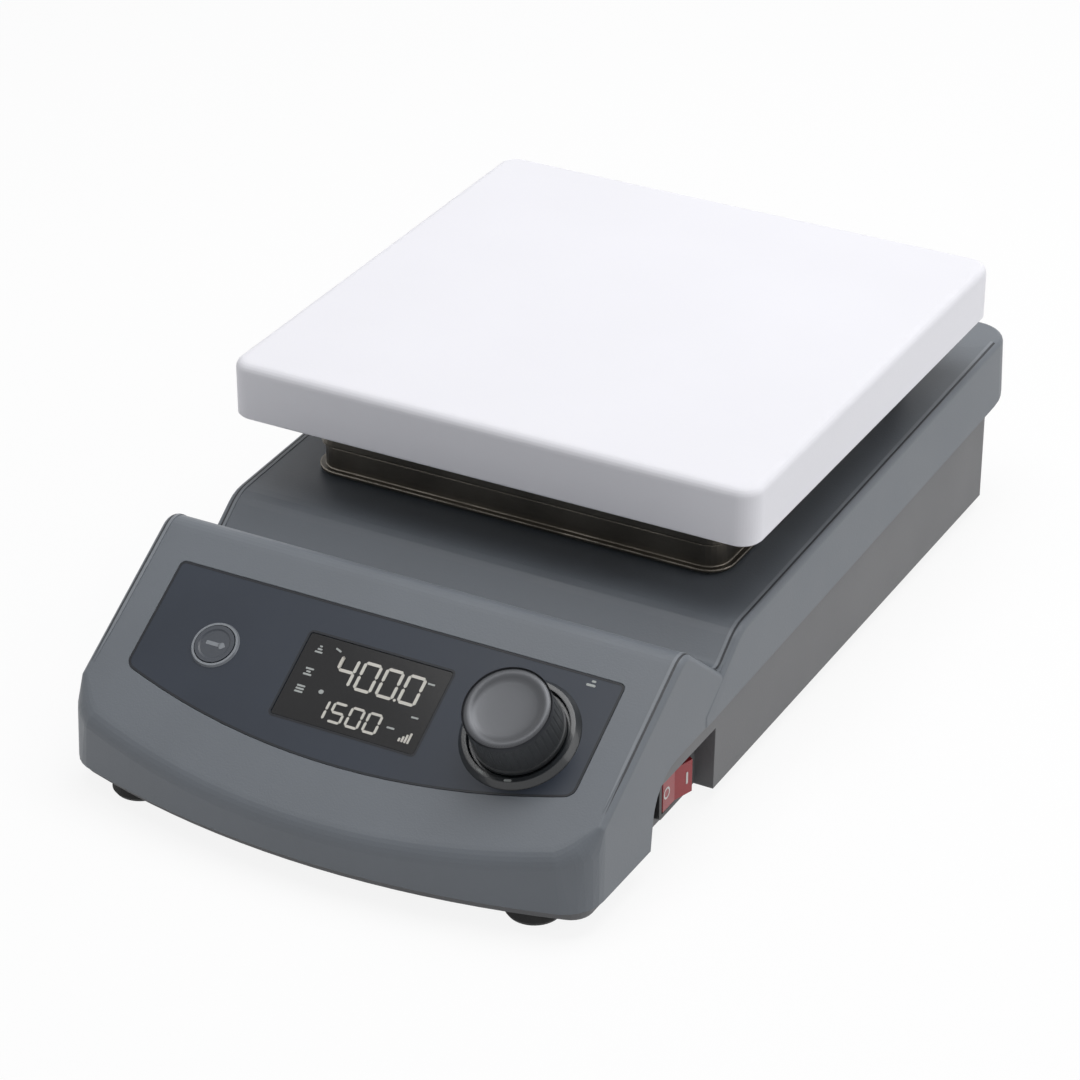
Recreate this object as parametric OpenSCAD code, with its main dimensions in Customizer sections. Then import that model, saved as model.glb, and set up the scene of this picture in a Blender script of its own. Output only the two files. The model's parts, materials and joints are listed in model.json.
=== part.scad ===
// Bench hotplate magnetic stirrer: a square coated plate over a two-part moulded housing
// with a sloping control console. The front faces -Y, and the feet stand on Z = 0.

/* [Plate] */
// Width of the heating plate
plate_w = 184; // [180:1:190]
// Depth of the heating plate, front to back
plate_d = 184; // [180:1:190]
// Height of the plate casting, top face to skirt edge
plate_h = 19.2; // [18:0.2:21]
// Thickness of the plate's cast top
plate_top_t = 8; // [7:0.5:9]
// Thickness of the plate's skirt
plate_skirt_t = 5; // [4:0.5:6]
// Radius of the plate's corners in plan
plate_corner_r = 7; // [6:0.5:9]
// Radius of the plate's top edge
plate_edge_r = 3; // [2:0.5:4]
// Height from the deck to the plate's skirt edge at the plate's centre
plate_lift = 22.4; // [22:0.2:25]

/* [Housing] */
// How far the plate overhangs the housing on each side
side_overhang = 1; // [0.5:0.5:3]
// Distance from the front of the console to the front of the plate
plate_setback = 114.5; // [112:0.5:120]
// Distance from the back of the plate to the back of the housing
rear_deck = 29; // [28:0.5:34]
// Wall of both housing mouldings
wall = 3.2; // [2.8:0.1:3.4]
// Radius of the bowed console front in plan
front_r = 290; // [270:5:320]
// Radius of the edge between slope and lip
crease_r = 7; // [6:0.5:8]
// Radius of the front corners in plan where the slope meets the lip
front_corner_r = 14; // [11:0.5:16]
// Radius of the front corners in plan at the foot of the lip
lip_corner_r = 13; // [10:0.5:15]
// Radius of the rear corners in plan
rear_corner_r = 12; // [10:1:14]
// How far the front corners stand in from the sides
front_taper = 1; // [0.5:0.1:1.5]
// Height of the lower edge of the console above the bench
lip_z = 8.5; // [7.5:0.1:9]
// Inward lean of the upper side walls, in degrees
side_draft = 1.6; // [1.2:0.1:2.6]
// Height where the side walls start to lean
draft_z = 30; // [26:1:34]

/* [Console and deck] */
// Distance from the console front to the top of the ridge
ridge_setback = 75.4; // [74:0.2:78]
// Height of the ridge before rounding
ridge_h = 65.2; // [64:0.2:66.6]
// Angle of the control slope, in degrees
slope_deg = 30.9; // [30:0.1:32]
// Radius of the ridge
ridge_r = 7; // [5:0.5:8]
// Radius of the edges along the sides
side_edge_r = 2; // [1.4:0.1:2.6]
// Angle of the face behind the ridge, in degrees
back_deg = 39.8; // [38:0.2:42]
// Height of the valley between ridge and deck before rounding
gutter_h = 45.3; // [44.5:0.1:46]
// Angle of the rise from the valley to the deck, in degrees
rise_deg = 36; // [34:1:38]
// Height of the front edge of the deck before rounding
deck_front_h = 54.5; // [53.5:0.1:55]
// Fall of the deck towards the valley, in degrees
deck_tilt = 1.75; // [1.5:0.05:2]
// Radius of the front edge of the deck
deck_front_r = 14; // [12:1:16]
// Radius of the valley between ridge and deck
valley_r = 4; // [3:0.5:6]

/* [Side band and ear] */
// Height of the side band's lower edge at the back
band_rear_z = 38; // [37.5:0.5:39]
// Rise of the side band's lower edge towards the back, in degrees
band_tilt = 1.4; // [1.2:0.1:1.6]
// Radius under the rear end of the band
band_rear_r = 16; // [12:1:18]
// Distance from the console front to the rear edge of the ear
ear_len = 56; // [55:0.5:57]
// Lean of the ear's rear edge, in degrees
ear_lean = 7; // [5:1:9]
// Radius of the sweep from the band into the ear
ear_sweep_r = 15; // [12:1:16]

/* [Lower body] */
// Height of the lower body's floor above the bench
body_z = 4.5; // [4:0.1:4.8]
// How far the lower body stands in from the band
body_inset = 1.3; // [1.2:0.1:2]
// How far the lower body's back stands in from the band
body_rear_inset = 13; // [12:0.5:14]
// Inward lean of the lower body's sides, in degrees
body_draft = 1; // [0.5:0.1:2]
// Gap between the two mouldings
seam = 0.3; // [0.2:0.05:0.4]
// Height of the tongue that plugs into the upper housing
tongue_h = 4; // [3:0.5:5]
// Thickness of the tongue
tongue_t = 2.4; // [2:0.1:2.6]
// Depth of the switch recess from the band's side
recess_depth = 8.5; // [8:0.5:9]
// Distance from the console front to the rear end of the switch recess
recess_rear = 97.5; // [96.5:0.5:101]
// Height of the recess's ceiling above the bench
recess_h = 26.5; // [25.5:0.1:27.5]

/* [Feet and housing screws] */
// Diameter of a rubber foot
foot_d = 18; // [16:1:20]
// Distance from the housing's side to the feet
foot_side = 22.5; // [20:0.5:26]
// Distance from the console front to the front feet
foot_front = 21.5; // [21:0.5:26]
// Distance from the back of the housing to the rear feet
foot_rear = 31; // [30:1:34]
// Diameter of the housing screws
case_screw_d = 4; // [3.5:0.5:4]
// Diameter of the screw posts
post_d = 9; // [8.5:0.5:9.5]
// Distance from the housing's side to the screw posts
post_side = 11.6; // [11.4:0.1:12]

/* [Plate stack] */
// Distance from the plate's edges to each pillar
pillar_margin = 37; // [34:1:42]
// Diameter of the plate pillars
pillar_d = 8; // [7:0.5:9]
// Diameter of the collar that carries the shield
collar_d = 14; // [13:0.5:15]
// Distance from the plate's edges to the heater pan
pan_margin = 19; // [18:0.5:21]
// Drop of the heater pan below the plate's skirt edge
pan_drop = 14; // [13:0.5:14.5]
// Distance from the plate's edges to the shield's upright walls
shield_margin = 20; // [19:0.5:22]
// Width of the rim around the foot of the shield
shield_rim = 2; // [1.5:0.5:3]
// Thickness of the pan and shield sheet
sheet_t = 1; // [0.8:0.1:1.2]
// Corner radius of the pan and shield
sheet_corner_r = 7; // [5:1:9]
// Air gap between the shield and the pan
shield_gap = 0.6; // [0.4:0.1:0.8]
// Distance from the plate's edges to the heating element
heater_margin = 17; // [15:0.5:20]
// Thickness of the heating element
heater_t = 3; // [2.5:0.5:4]
// Thickness of the clamp plate under the element
clamp_t = 1.5; // [1:0.1:2]
// Diameter of the heat cutout
cutout_d = 16; // [14:1:18]
// Diameter of the plate's temperature sensor
sensor_d = 4; // [3:0.5:4.5]

/* [Stirring drive] */
// Diameter of the motor can
motor_d = 46; // [42:1:50]
// Height of the motor can
motor_h = 26; // [24:0.5:27]
// Wall of the motor can
motor_wall = 2; // [1.5:0.1:2.5]
// Diameter of the motor shaft
shaft_d = 6; // [5:0.5:6]
// Outside diameter of the motor bearings
bearing_d = 13; // [12:0.5:14]
// Height of a motor bearing
bearing_h = 4; // [3:0.5:5]
// Radial running clearance of shafts
run_clear = 0.05; // [0.02:0.01:0.09]
// Diameter of the round opening in the deck over the motor
drive_hole_d = 92; // [90:1:96]
// Length of the magnet carrier bar
carrier_len = 80; // [70:1:82]
// Width of the magnet carrier bar
carrier_w = 26; // [22:1:28]
// Height of a drive magnet
magnet_h = 9; // [8:0.5:10]
// Length of a drive magnet
magnet_len = 20; // [16:1:24]
// Distance from the motor axis to the bracket posts along X
bracket_x = 52; // [50:1:56]
// Distance from the motor axis to the bracket posts along Y
bracket_y = 28; // [26:1:34]
// Thickness of the motor bracket
bracket_t = 2; // [1.5:0.5:2.5]
// Height of a rubber grommet
grommet_h = 3; // [2.5:0.5:4]

/* [Control panel] */
// Distance from the housing's side to the overlay
overlay_side = 14; // [13:0.5:16]
// Distance down the slope from the ridge to the overlay
overlay_top = 15.4; // [14.6:0.1:17]
// Distance down the slope from the ridge to the overlay's lowest point
overlay_bottom = 66.4; // [65.6:0.1:67.6]
// Radius of the overlay's bowed lower edge
overlay_r = 243; // [220:1:280]
// Radius of the overlay's upper corners
overlay_top_r = 2; // [1:0.5:4]
// Radius of the overlay's lower corners
overlay_low_r = 4; // [3:0.5:9]
// Thickness of the overlay
overlay_t = 0.5; // [0.4:0.1:0.6]
// Width of the display window
window_w = 49; // [46:0.5:50]
// Height of the display window
window_h = 28.8; // [27:0.2:29]
// Distance down the slope from the ridge to the window's middle
window_s = 41.2; // [40.8:0.1:41.8]
// Thickness of the display window
window_t = 1.8; // [1.4:0.1:2]
// Depth of the control board under the slope
board_depth = 10.5; // [10:0.5:12]
// Thickness of the circuit boards
board_t = 1.6; // [1.2:0.2:2]

/* [Push button] */
// Distance from the housing's side to the button's middle
button_side = 38.7; // [37:0.1:41]
// Distance down the slope from the ridge to the button and the knob
button_s = 39.7; // [39:0.1:40.7]
// Diameter of the push button
button_d = 12.8; // [12:0.1:13]
// Outside diameter of the button's ring
button_ring_d = 15.6; // [15.4:0.1:16.5]
// Travel of the push button
button_travel = 0.6; // [0.4:0.1:0.8]

/* [Control knob] */
// Distance from the housing's side to the knob's middle
knob_side = 38; // [37:0.5:40]
// Diameter of the knob's grip at its foot
knob_d = 29; // [28:0.5:30]
// Diameter of the knob at its top
knob_top_d = 27; // [26:0.5:27.5]
// Height of the knob above the slope
knob_h = 15.5; // [14:0.5:17]
// Number of grip ribs around the knob
knob_ribs = 36; // [24:2:44]
// Outside diameter of the knob's base ring
ring_d = 37.4; // [36:0.2:38]
// Height of the knob's base ring
ring_h = 2.2; // [1.8:0.1:2.6]
// Diameter of the encoder shaft
encoder_shaft_d = 6; // [5:0.5:6]
// Travel of the knob when it is pressed
knob_travel = 0.7; // [0.5:0.1:0.8]

/* [Power switch] */
// Distance from the console front to the rocker's pivot
rocker_setback = 80.7; // [80:0.1:81.5]
// Height of the rocker's pivot above the bench
rocker_z = 14.6; // [14.6:0.1:15.2]
// Length of the switch's front frame
frame_l = 21; // [20.5:0.1:21.5]
// Height of the switch's front frame
frame_h = 15; // [14.8:0.1:15.2]
// Swing radius of the rocker's ends
rocker_r = 8.6; // [8.4:0.1:8.7]
// Height of the rocker
rocker_h = 11.4; // [11:0.1:11.5]
// Tilt of the rocker to each side, in degrees
rocker_tilt = 9; // [8:0.5:10]

/* [Rear connectors] */
// Distance from the middle of the object to the mains inlet
inlet_x = -45; // [-48:1:-40]
// Width and height of the inlet's flange
inlet_w = 31; // [30:0.1:31]
// Diameter of the temperature probe socket's bore
probe_bore_d = 13.4; // [12:0.2:14]
// Distance from the middle of the object to the probe socket
probe_x = 5; // [0:1:15]
// Diameter of the threaded hole for the support rod
rod_hole_d = 8.5; // [8:0.5:9]
// Diameter of the support rod bush
rod_bush_d = 14; // [13:1:15]
// Distance from the housing's side to the support rod
rod_side = 19; // [18:1:21]

/* [Hidden] */
$fn = 64;
cut = 1;
seat = 0.3;
front_post = 41;
mid_post = 120;
rear_post = 54;

// Overall places, worked out from the driving sizes
overall_len = plate_setback + plate_d + rear_deck;
front_y = -overall_len/2;
rear_y = overall_len/2;
front_cy = front_y + front_r;
plate_cy = front_y + plate_setback + plate_d/2;
housing_hw = plate_w/2 - side_overhang;
ridge_y = front_y + ridge_setback;
gutter_y = ridge_y + (ridge_h - gutter_h)/tan(back_deg);
deck_front_y = gutter_y + (deck_front_h - gutter_h)/tan(rise_deg);
ear_y = front_y + ear_len;
body_rear_y = rear_y - body_rear_inset;
body_hw = housing_hw - body_inset;
floor_z = body_z + wall;
foot_x = housing_hw - foot_side;
post_x = housing_hw - post_side;
overlay_hw = housing_hw - overlay_side;
button_x = button_side - housing_hw;
knob_x = housing_hw - knob_side;
rod_x = rod_side - housing_hw;

function half_width(z) = housing_hw - max(0, z - draft_z)*tan(side_draft);
function deck_z(y) = deck_front_h + (y - deck_front_y)*tan(deck_tilt);
function slope_z(y) = ridge_h - (ridge_y - y)*tan(slope_deg);
function band_z(y) = band_rear_z - (rear_y - y)*tan(band_tilt);
plate_z = deck_z(plate_cy) + plate_lift;
overall_h = plate_z + plate_h;

// Rounded outlines: each point is [x, y, radius]
function unit(v) = v/norm(v);
function flat2(p) = [p[0], p[1]];
function round_centre(a, b, c, r) =
  let (u = unit(a - b), v = unit(c - b), half = acos(u*v)/2)
  b + unit(u + v)*r/sin(half);
function corner_arc(a, b, c, r, n) =
  r <= 0 ? [b] :
  let (
    u = unit(a - b),
    half = acos(u*unit(c - b))/2,
    centre = round_centre(a, b, c, r),
    first = b + u*r/tan(half) - centre,
    start = atan2(first[1], first[0]),
    turn = sign(cross(b - a, c - b))*(180 - 2*half)
  )
  [for (i = [0:n]) centre + r*[cos(start + turn*i/n), sin(start + turn*i/n)]];
function rounded(points, n = 6) =
  let (m = len(points))
  [for (i = [0:m - 1])
    each corner_arc(flat2(points[(i + m - 1)%m]), flat2(points[i]), flat2(points[(i + 1)%m]), points[i][2], n)];

// Side view of the upper housing as lines, each a point and an angle
function heading(a) = [cos(a), sin(a)];
function inset(line, d) = [line[0] + d*[sin(line[1]), -cos(line[1])], line[1]];
function meet(k, l) =
  k[0] + heading(k[1])*cross(l[0] - k[0], heading(l[1]))/cross(heading(k[1]), heading(l[1]));
slope_line = [[ridge_y, ridge_h], slope_deg];
back_line = [[ridge_y, ridge_h], -back_deg];
rise_line = [[gutter_y, gutter_h], rise_deg];
deck_line = [[deck_front_y, deck_front_h], deck_tilt];
rear_line = [[rear_y, 0], -90];
function roof_points(d) = [
  meet(inset(slope_line, d), [[front_y - cut, 0], 90]),
  meet(inset(slope_line, d), inset(back_line, d)),
  meet(inset(back_line, d), inset(rise_line, d)),
  meet(inset(rise_line, d), inset(deck_line, d)),
  meet(inset(deck_line, d), inset(rear_line, d))
];

// Shared solids and frames
module rect_outline(w, d, r) {
  polygon(rounded([[w/2, d/2, r], [-w/2, d/2, r], [-w/2, -d/2, r], [w/2, -d/2, r]]));
}
module block(w, d, h, r = 0) {
  linear_extrude(h) rect_outline(w, d, r);
}
module bowed_outline(hw, back, arc_r, arc_cy, r_back, r_front) {
  corner_cy = arc_cy - sqrt(pow(arc_r - r_front, 2) - pow(hw - r_front, 2));
  a = atan2(hw - r_front, arc_cy - corner_cy);
  touch = [arc_r*sin(a), arc_cy - arc_r*cos(a)];
  side_y = touch[1] + (hw - touch[0])*tan(a);
  intersection() {
    translate([0, arc_cy]) circle(arc_r, $fn = 240);
    polygon(rounded([
      [hw, back, r_back], [-hw, back, r_back], [-hw, side_y, r_front],
      [0, touch[1] - touch[0]*tan(a), 0], [hw, side_y, r_front]
    ]));
  }
}
module side_view(hw) {
  rotate([90, 0, 90]) translate([0, 0, -hw]) linear_extrude(2*hw) children();
}
module front_view(y0, y1) {
  translate([0, y1, 0]) rotate([90, 0, 0]) linear_extrude(y1 - y0) children();
}
module on_slope(x, s, h = 0) {
  translate([x, ridge_y - s*cos(slope_deg), ridge_h - s*sin(slope_deg)])
    rotate([slope_deg, 0, 0]) translate([0, 0, h]) children();
}
module at_plate(z = 0) {
  translate([0, plate_cy, z]) children();
}
module at_pillars(z = 0) {
  for (x = [-1, 1], y = [-1, 1])
    at_plate(z) translate([x*(plate_w/2 - pillar_margin), y*(plate_d/2 - pillar_margin), 0]) children();
}
module at_bracket_posts(z = 0) {
  for (x = [-1, 1], y = [-1, 1])
    at_plate(z) translate([x*bracket_x, y*bracket_y, 0]) children();
}
post_ys = [front_y + front_post, front_y + mid_post, rear_y - rear_post];
module at_posts(z = 0) {
  for (x = [-1, 1], y = post_ys)
    translate([x*post_x, y, z]) children();
}
module at_feet(z = 0) {
  for (x = [-1, 1], y = [front_y + foot_front, rear_y - foot_rear])
    translate([x*foot_x, y, z]) children();
}
module tube(d, bore, h) {
  difference() {
    cylinder(h = h, d = d);
    translate([0, 0, -cut]) cylinder(h = h + 2*cut, d = bore);
  }
}
// A screw seen from below: its head hangs under Z = 0 and its shank points up
module socket_screw(d, length, head_d, head_h) {
  difference() {
    union() {
      cylinder(h = length, d = d);
      translate([0, 0, -head_h]) cylinder(h = head_h, d = head_d);
    }
    translate([0, 0, -head_h - cut]) cylinder(h = 0.6*head_h + cut, d = 0.5*head_d, $fn = 6);
  }
}

// Upper housing
shell_clip = 1;
post_split_z = 24;
function ridge_turn(side) =
  [ridge_y, ridge_h] + (side < 0 ? -heading(slope_deg) : heading(-back_deg));
module edge_ring(r, edge) {
  rotate_extrude($fn = 32) translate([r - edge, 0]) circle(edge, $fn = 32);
}
module console_form() {
  ridge_c = round_centre(ridge_turn(-1), [ridge_y, ridge_h], ridge_turn(1), ridge_r);
  tuck = meet(inset(back_line, side_edge_r), [[0, draft_z + 3], 0]);
  bow = front_r - crease_r;
  corner_bow = front_r - front_corner_r;
  lip_bow = front_r - lip_corner_r;
  corner_a = asin((housing_hw - front_taper - front_corner_r)/corner_bow);
  lip_a = asin((housing_hw - front_taper - lip_corner_r)/lip_bow);
  corner_y = front_cy - corner_bow*cos(corner_a);
  steps = 9;
  hull() {
    for (side = [-1, 1]) {
      translate([side*(half_width(ridge_c[1]) - side_edge_r), ridge_c[0], ridge_c[1]])
        rotate([0, 90, 0]) edge_ring(ridge_r, side_edge_r);
      translate([side*(half_width(tuck[1]) - side_edge_r), tuck[0], tuck[1]])
        sphere(side_edge_r, $fn = 32);
      translate([side*(housing_hw - side_edge_r), tuck[0], lip_z])
        cylinder(h = 1, r = side_edge_r, $fn = 32);
      translate([side*corner_bow*sin(corner_a), corner_y, slope_z(corner_y) - crease_r/cos(slope_deg)])
        rotate([slope_deg, 0, 0]) edge_ring(front_corner_r, crease_r);
      translate([side*(housing_hw - front_taper - side_edge_r), corner_y, slope_z(corner_y) - side_edge_r/cos(slope_deg)])
        sphere(side_edge_r, $fn = 32);
      translate([side*lip_bow*sin(lip_a), front_cy - lip_bow*cos(lip_a), lip_z])
        cylinder(h = 1, r = lip_corner_r, $fn = 32);
    }
    for (i = [-steps:steps]) {
      y = front_cy - bow*cos(corner_a*i/steps);
      translate([bow*sin(corner_a*i/steps), y, slope_z(y) - crease_r/cos(slope_deg)])
        sphere(crease_r, $fn = 32);
      translate([bow*sin(lip_a*i/steps), front_cy - bow*cos(lip_a*i/steps), lip_z])
        cylinder(h = 1, r = crease_r, $fn = 32);
    }
  }
}
module deck_form() {
  corner = [deck_front_y, deck_front_h];
  front_c = round_centre(corner - heading(rise_deg), corner, corner + heading(deck_tilt), deck_front_r);
  tuck = inset([corner - 30*heading(rise_deg), rise_deg], side_edge_r)[0];
  hull() {
    for (side = [-1, 1]) {
      translate([side*(half_width(front_c[1]) - side_edge_r), front_c[0], front_c[1]])
        rotate([0, 90, 0]) edge_ring(deck_front_r, side_edge_r);
      translate([side*(half_width(deck_z(rear_y)) - rear_corner_r), rear_y - rear_corner_r,
                 deck_z(rear_y - rear_corner_r) - side_edge_r/cos(deck_tilt)])
        edge_ring(rear_corner_r, side_edge_r);
      translate([side*(housing_hw - rear_corner_r), rear_y - rear_corner_r, draft_z])
        cylinder(h = 1, r = rear_corner_r, $fn = 32);
      translate([side*(half_width(tuck[1]) - side_edge_r), tuck[0], tuck[1]])
        sphere(side_edge_r, $fn = 32);
      translate([side*(housing_hw - side_edge_r), tuck[0], draft_z])
        sphere(side_edge_r, $fn = 32);
    }
  }
}
// Rounded floor of the valley between the console and the deck
module valley_fillet() {
  foot = [gutter_y, gutter_h];
  side_view(half_width(gutter_h) - side_edge_r/2) polygon(concat(
    [foot - [0, valley_r/2]],
    corner_arc(foot + 20*heading(rise_deg), foot, foot + 20*heading(180 - back_deg), valley_r, 8)
  ));
}
// Lower edge in the side view: ear, sweep, band and the rounded rear end
module edge_profile(gap = 0) {
  ear_top_z = band_z(ear_y) - gap;
  polygon(rounded([
    [front_y - 5, -cut, 0],
    [ear_y + gap - (ear_top_z + cut)*tan(ear_lean), -cut, 0],
    [ear_y + gap, ear_top_z, ear_sweep_r - gap],
    [rear_y + gap, band_z(rear_y) - gap, band_rear_r + gap],
    [rear_y + gap, ridge_h + 10, 0],
    [front_y - 5, ridge_h + 10, 0]
  ]));
}
ledge_z = band_rear_z + wall;
module housing_cavity() {
  roof = roof_points(wall);
  intersection() {
    side_view(housing_hw) polygon(concat(
      [[front_y - cut, -cut]],
      roof,
      [[rear_y - wall, ledge_z], [body_rear_y - wall/2, ledge_z], [body_rear_y - wall/2, -cut]]
    ));
    front_view(front_y, rear_y) polygon([
      [wall - housing_hw, -cut], [wall - housing_hw, draft_z], [wall - half_width(ridge_h), ridge_h],
      [half_width(ridge_h) - wall, ridge_h], [housing_hw - wall, draft_z], [housing_hw - wall, -cut]
    ]);
    linear_extrude(ridge_h)
      bowed_outline(housing_hw - wall, rear_y - wall, front_r - wall, front_cy, rear_corner_r - wall, crease_r);
  }
}
well_z = deck_z(plate_cy) - 1.2;
shield_w = plate_w - 2*shield_margin;
shield_d = plate_d - 2*shield_margin;
well_gap = 1;
well_w = shield_w + 2*(shield_rim + well_gap);
well_d = shield_d + 2*(shield_rim + well_gap);
well_floor_t = 4;
module well_tray() {
  y0 = plate_cy - well_d/2 - wall;
  y1 = plate_cy + well_d/2 + wall;
  side_view(well_w/2 + wall) polygon([
    [y0, well_z - well_floor_t], [y1, well_z - well_floor_t],
    [y1, deck_z(y1) - shell_clip], [y0, deck_z(y0) - shell_clip]
  ]);
}
rod_y = rear_y - 13.7;
rod_bush_h = 15;
module housing_bosses() {
  roof = roof_points(shell_clip);
  intersection() {
    side_view(housing_hw) polygon(concat([[front_y - cut, 0]], roof, [[rear_y - shell_clip, 0]]));
    union() {
      at_posts(post_split_z + seat) cylinder(h = 60, d = post_d);
      at_bracket_posts(bracket_z + bracket_t + grommet_h) cylinder(h = 30, d = 8);
      translate([rod_x, rod_y, band_rear_z + tongue_h + 0.5]) cylinder(h = 30, d = rod_bush_d + 6);
    }
  }
  at_pillars(well_z - well_floor_t) cylinder(h = well_floor_t, d = collar_d + 4);
  for (x = [-1, 1], s = [board_top + 4, board_bottom - 4])
    on_slope(x*board_screw_x, s, -board_depth) cylinder(h = board_depth - shell_clip, d = 6);
}
module top_housing() {
  color([0.43, 0.45, 0.48]) difference() {
    union() {
      difference() {
        intersection() {
          union() {
            console_form();
            deck_form();
            valley_fillet();
          }
          side_view(housing_hw + cut) edge_profile();
        }
        housing_cavity();
      }
      well_tray();
      housing_bosses();
    }
    // well, drive opening and pillar seats
    at_plate(well_z) block(well_w, well_d, 20, sheet_corner_r + shield_rim);
    at_plate(0) translate([0, 0, 30]) cylinder(h = 60, d = drive_hole_d);
    at_pillars(well_z - well_floor_t - 2*cut) cylinder(h = 30, d = 5.4);
    // case, bracket and board screws
    at_posts(post_split_z - cut) cylinder(h = 11, d = case_screw_d - 0.6);
    at_bracket_posts(bracket_z) cylinder(h = grommet_h + bracket_t + 5, d = 2.6);
    for (x = [-1, 1], s = [board_top + 4, board_bottom - 4])
      on_slope(x*board_screw_x, s, -board_depth - cut) cylinder(h = 7, d = 2);
    // overlay pocket and the openings behind it
    on_slope(0, 0, -overlay_t) linear_extrude(overlay_t + 5) overlay_outline(0.15);
    on_slope(0, window_s, -overlay_t - window_t) block(window_w + 0.4, window_h + 0.4, 10, 1);
    on_slope(0, window_s, -wall - 8) block(window_w - 4, window_h - 4, 20, 1);
    on_slope(button_x, button_s, -wall - 4) cylinder(h = 10, d = button_d + 0.6);
    on_slope(knob_x, button_s, -wall - 4) cylinder(h = 10, d = encoder_bush_d + 0.4);
    // support rod bush seat
    translate([rod_x, rod_y, ledge_z - 2*cut]) cylinder(h = 40, d = rod_bush_d);
    translate([rod_x, rod_y, rod_flange_z]) cylinder(h = 10, d = rod_bush_d + 4.4);
  }
}

// Lower body
module body_side_outline() {
  bowed_outline(body_hw, body_rear_y, front_r - wall - seam, front_cy, rear_corner_r - 2, crease_r);
}
tongue_hw = half_width(band_rear_z + tongue_h) - wall - seam;
body_wall = wall/2 + seam + tongue_t;
module tongue_outline(d) {
  bowed_outline(tongue_hw - d, body_rear_y - wall/2 - seam - d, front_r - wall - seam - d, front_cy,
                rear_corner_r - 3 - d/2, crease_r - d/2);
}
module drafted(hw) {
  foot_hw = hw - band_rear_z*tan(body_draft);
  intersection() {
    children();
    front_view(front_y, rear_y) polygon([
      [-foot_hw, 0], [-hw, band_rear_z], [-hw, 70], [hw, 70], [hw, band_rear_z], [foot_hw, 0]
    ]);
  }
}
// Everything below the band and behind the ear
behind_ear = 6;
module under_edge(gap) {
  intersection() {
    children();
    difference() {
      translate([-housing_hw, ear_y - behind_ear, 0]) cube([2*housing_hw, rear_y - ear_y + behind_ear, ridge_h]);
      side_view(housing_hw + cut) edge_profile(gap);
    }
  }
}
recess_x = housing_hw - recess_depth;
recess_y1 = front_y + recess_rear;
recess_y0 = ear_y - 3;
recess_roof_t = 2.5;
module recess_wall() {
  translate([recess_x - wall, recess_y0 - wall, body_z])
    cube([body_hw - 2 - recess_x + wall, recess_y1 - recess_y0 + 2*wall, recess_h + recess_roof_t - body_z]);
}
module recess_space() {
  translate([recess_x, recess_y0, -cut])
    cube([2*recess_depth, recess_y1 - recess_y0, recess_h + cut]);
}
tongue_front_h = 12;
module tongue_profile(top_gap) {
  polygon([
    [front_y - 5, body_z], [front_y - 5, body_z + tongue_front_h], [ear_y - 8, body_z + tongue_front_h],
    [ear_y - 8, band_z(ear_y) + tongue_h - top_gap], [rear_y, band_z(rear_y) + tongue_h - top_gap],
    [rear_y, body_z]
  ]);
}
vent_count = 8;
vent_pitch = 7;
vent_w = 3;
vent_len = 46;
module lower_body() {
  color([0.37, 0.37, 0.38]) difference() {
    union() {
      difference() {
        union() {
          under_edge(seam) drafted(body_hw) translate([0, 0, body_z]) linear_extrude(60) body_side_outline();
          intersection() {
            drafted(body_hw + 2) translate([0, 0, body_z]) linear_extrude(60) tongue_outline(0);
            side_view(housing_hw) tongue_profile(0);
          }
        }
        drafted(body_hw + 1 - tongue_t)
          translate([0, 0, floor_z]) linear_extrude(60) tongue_outline(tongue_t);
      }
      intersection() {
        recess_wall();
        translate([0, 0, body_z]) linear_extrude(60) tongue_outline(0.6);
      }
      at_posts(floor_z - cut) cylinder(h = post_split_z - floor_z + cut, d = post_d);
      at_feet(floor_z - cut) cylinder(h = 6, d = 9);
    }
    recess_space();
    // switch, inlet and probe openings
    translate([recess_x - 2*wall, rocker_y - switch_body_l/2 - 0.1, rocker_z - switch_body_h/2 - 0.1])
      cube([3*wall, switch_body_l + 0.2, switch_body_h + 0.2]);
    translate([inlet_x - inlet_body_w/2 - 0.2, body_rear_y - 2*wall, inlet_z - inlet_body_w/2 - 0.2])
      cube([inlet_body_w + 0.4, 3*wall, inlet_body_w + 0.4]);
    translate([probe_x, body_rear_y + cut, probe_z]) rotate([90, 0, 0])
      cylinder(h = 4*wall, d = probe_body_d + 0.4);
    // screws
    at_posts(-cut) cylinder(h = 60, d = case_screw_d + 0.5);
    at_posts(-cut) cylinder(h = case_seat_z + cut, d = 2*case_screw_d + 0.6);
    at_feet(-cut) cylinder(h = 20, d = 3.4);
    // air slots in the floor
    for (i = [-vent_count/2:vent_count/2])
      translate([i*vent_pitch, plate_cy + 6, -cut]) block(vent_w, vent_len, 20, vent_w/2 - 0.01);
  }
}

// Feet and screws
foot_top_d = foot_d - 2;
foot_recess_h = 2.6;
case_seat_z = body_z + 2.8;
module rubber_feet() {
  color([0.07, 0.07, 0.07]) at_feet() difference() {
    union() {
      cylinder(h = 1.2, d1 = foot_d - 1.6, d2 = foot_d);
      translate([0, 0, 1.2]) cylinder(h = body_z - 1.2, d1 = foot_d, d2 = foot_top_d);
    }
    translate([0, 0, -cut]) cylinder(h = foot_recess_h + cut, d = 9);
    cylinder(h = 20, d = 4.4);
  }
}
module foot_screws() {
  color([0.75, 0.75, 0.76]) at_feet(foot_recess_h) socket_screw(3.4, 9, 7.4, 1.8);
}
module housing_screws() {
  color([0.75, 0.75, 0.76]) at_posts(case_seat_z)
    socket_screw(case_screw_d - 0.6, post_split_z + 9 - case_seat_z, 2*case_screw_d - 0.6, 2.4);
}

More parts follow.
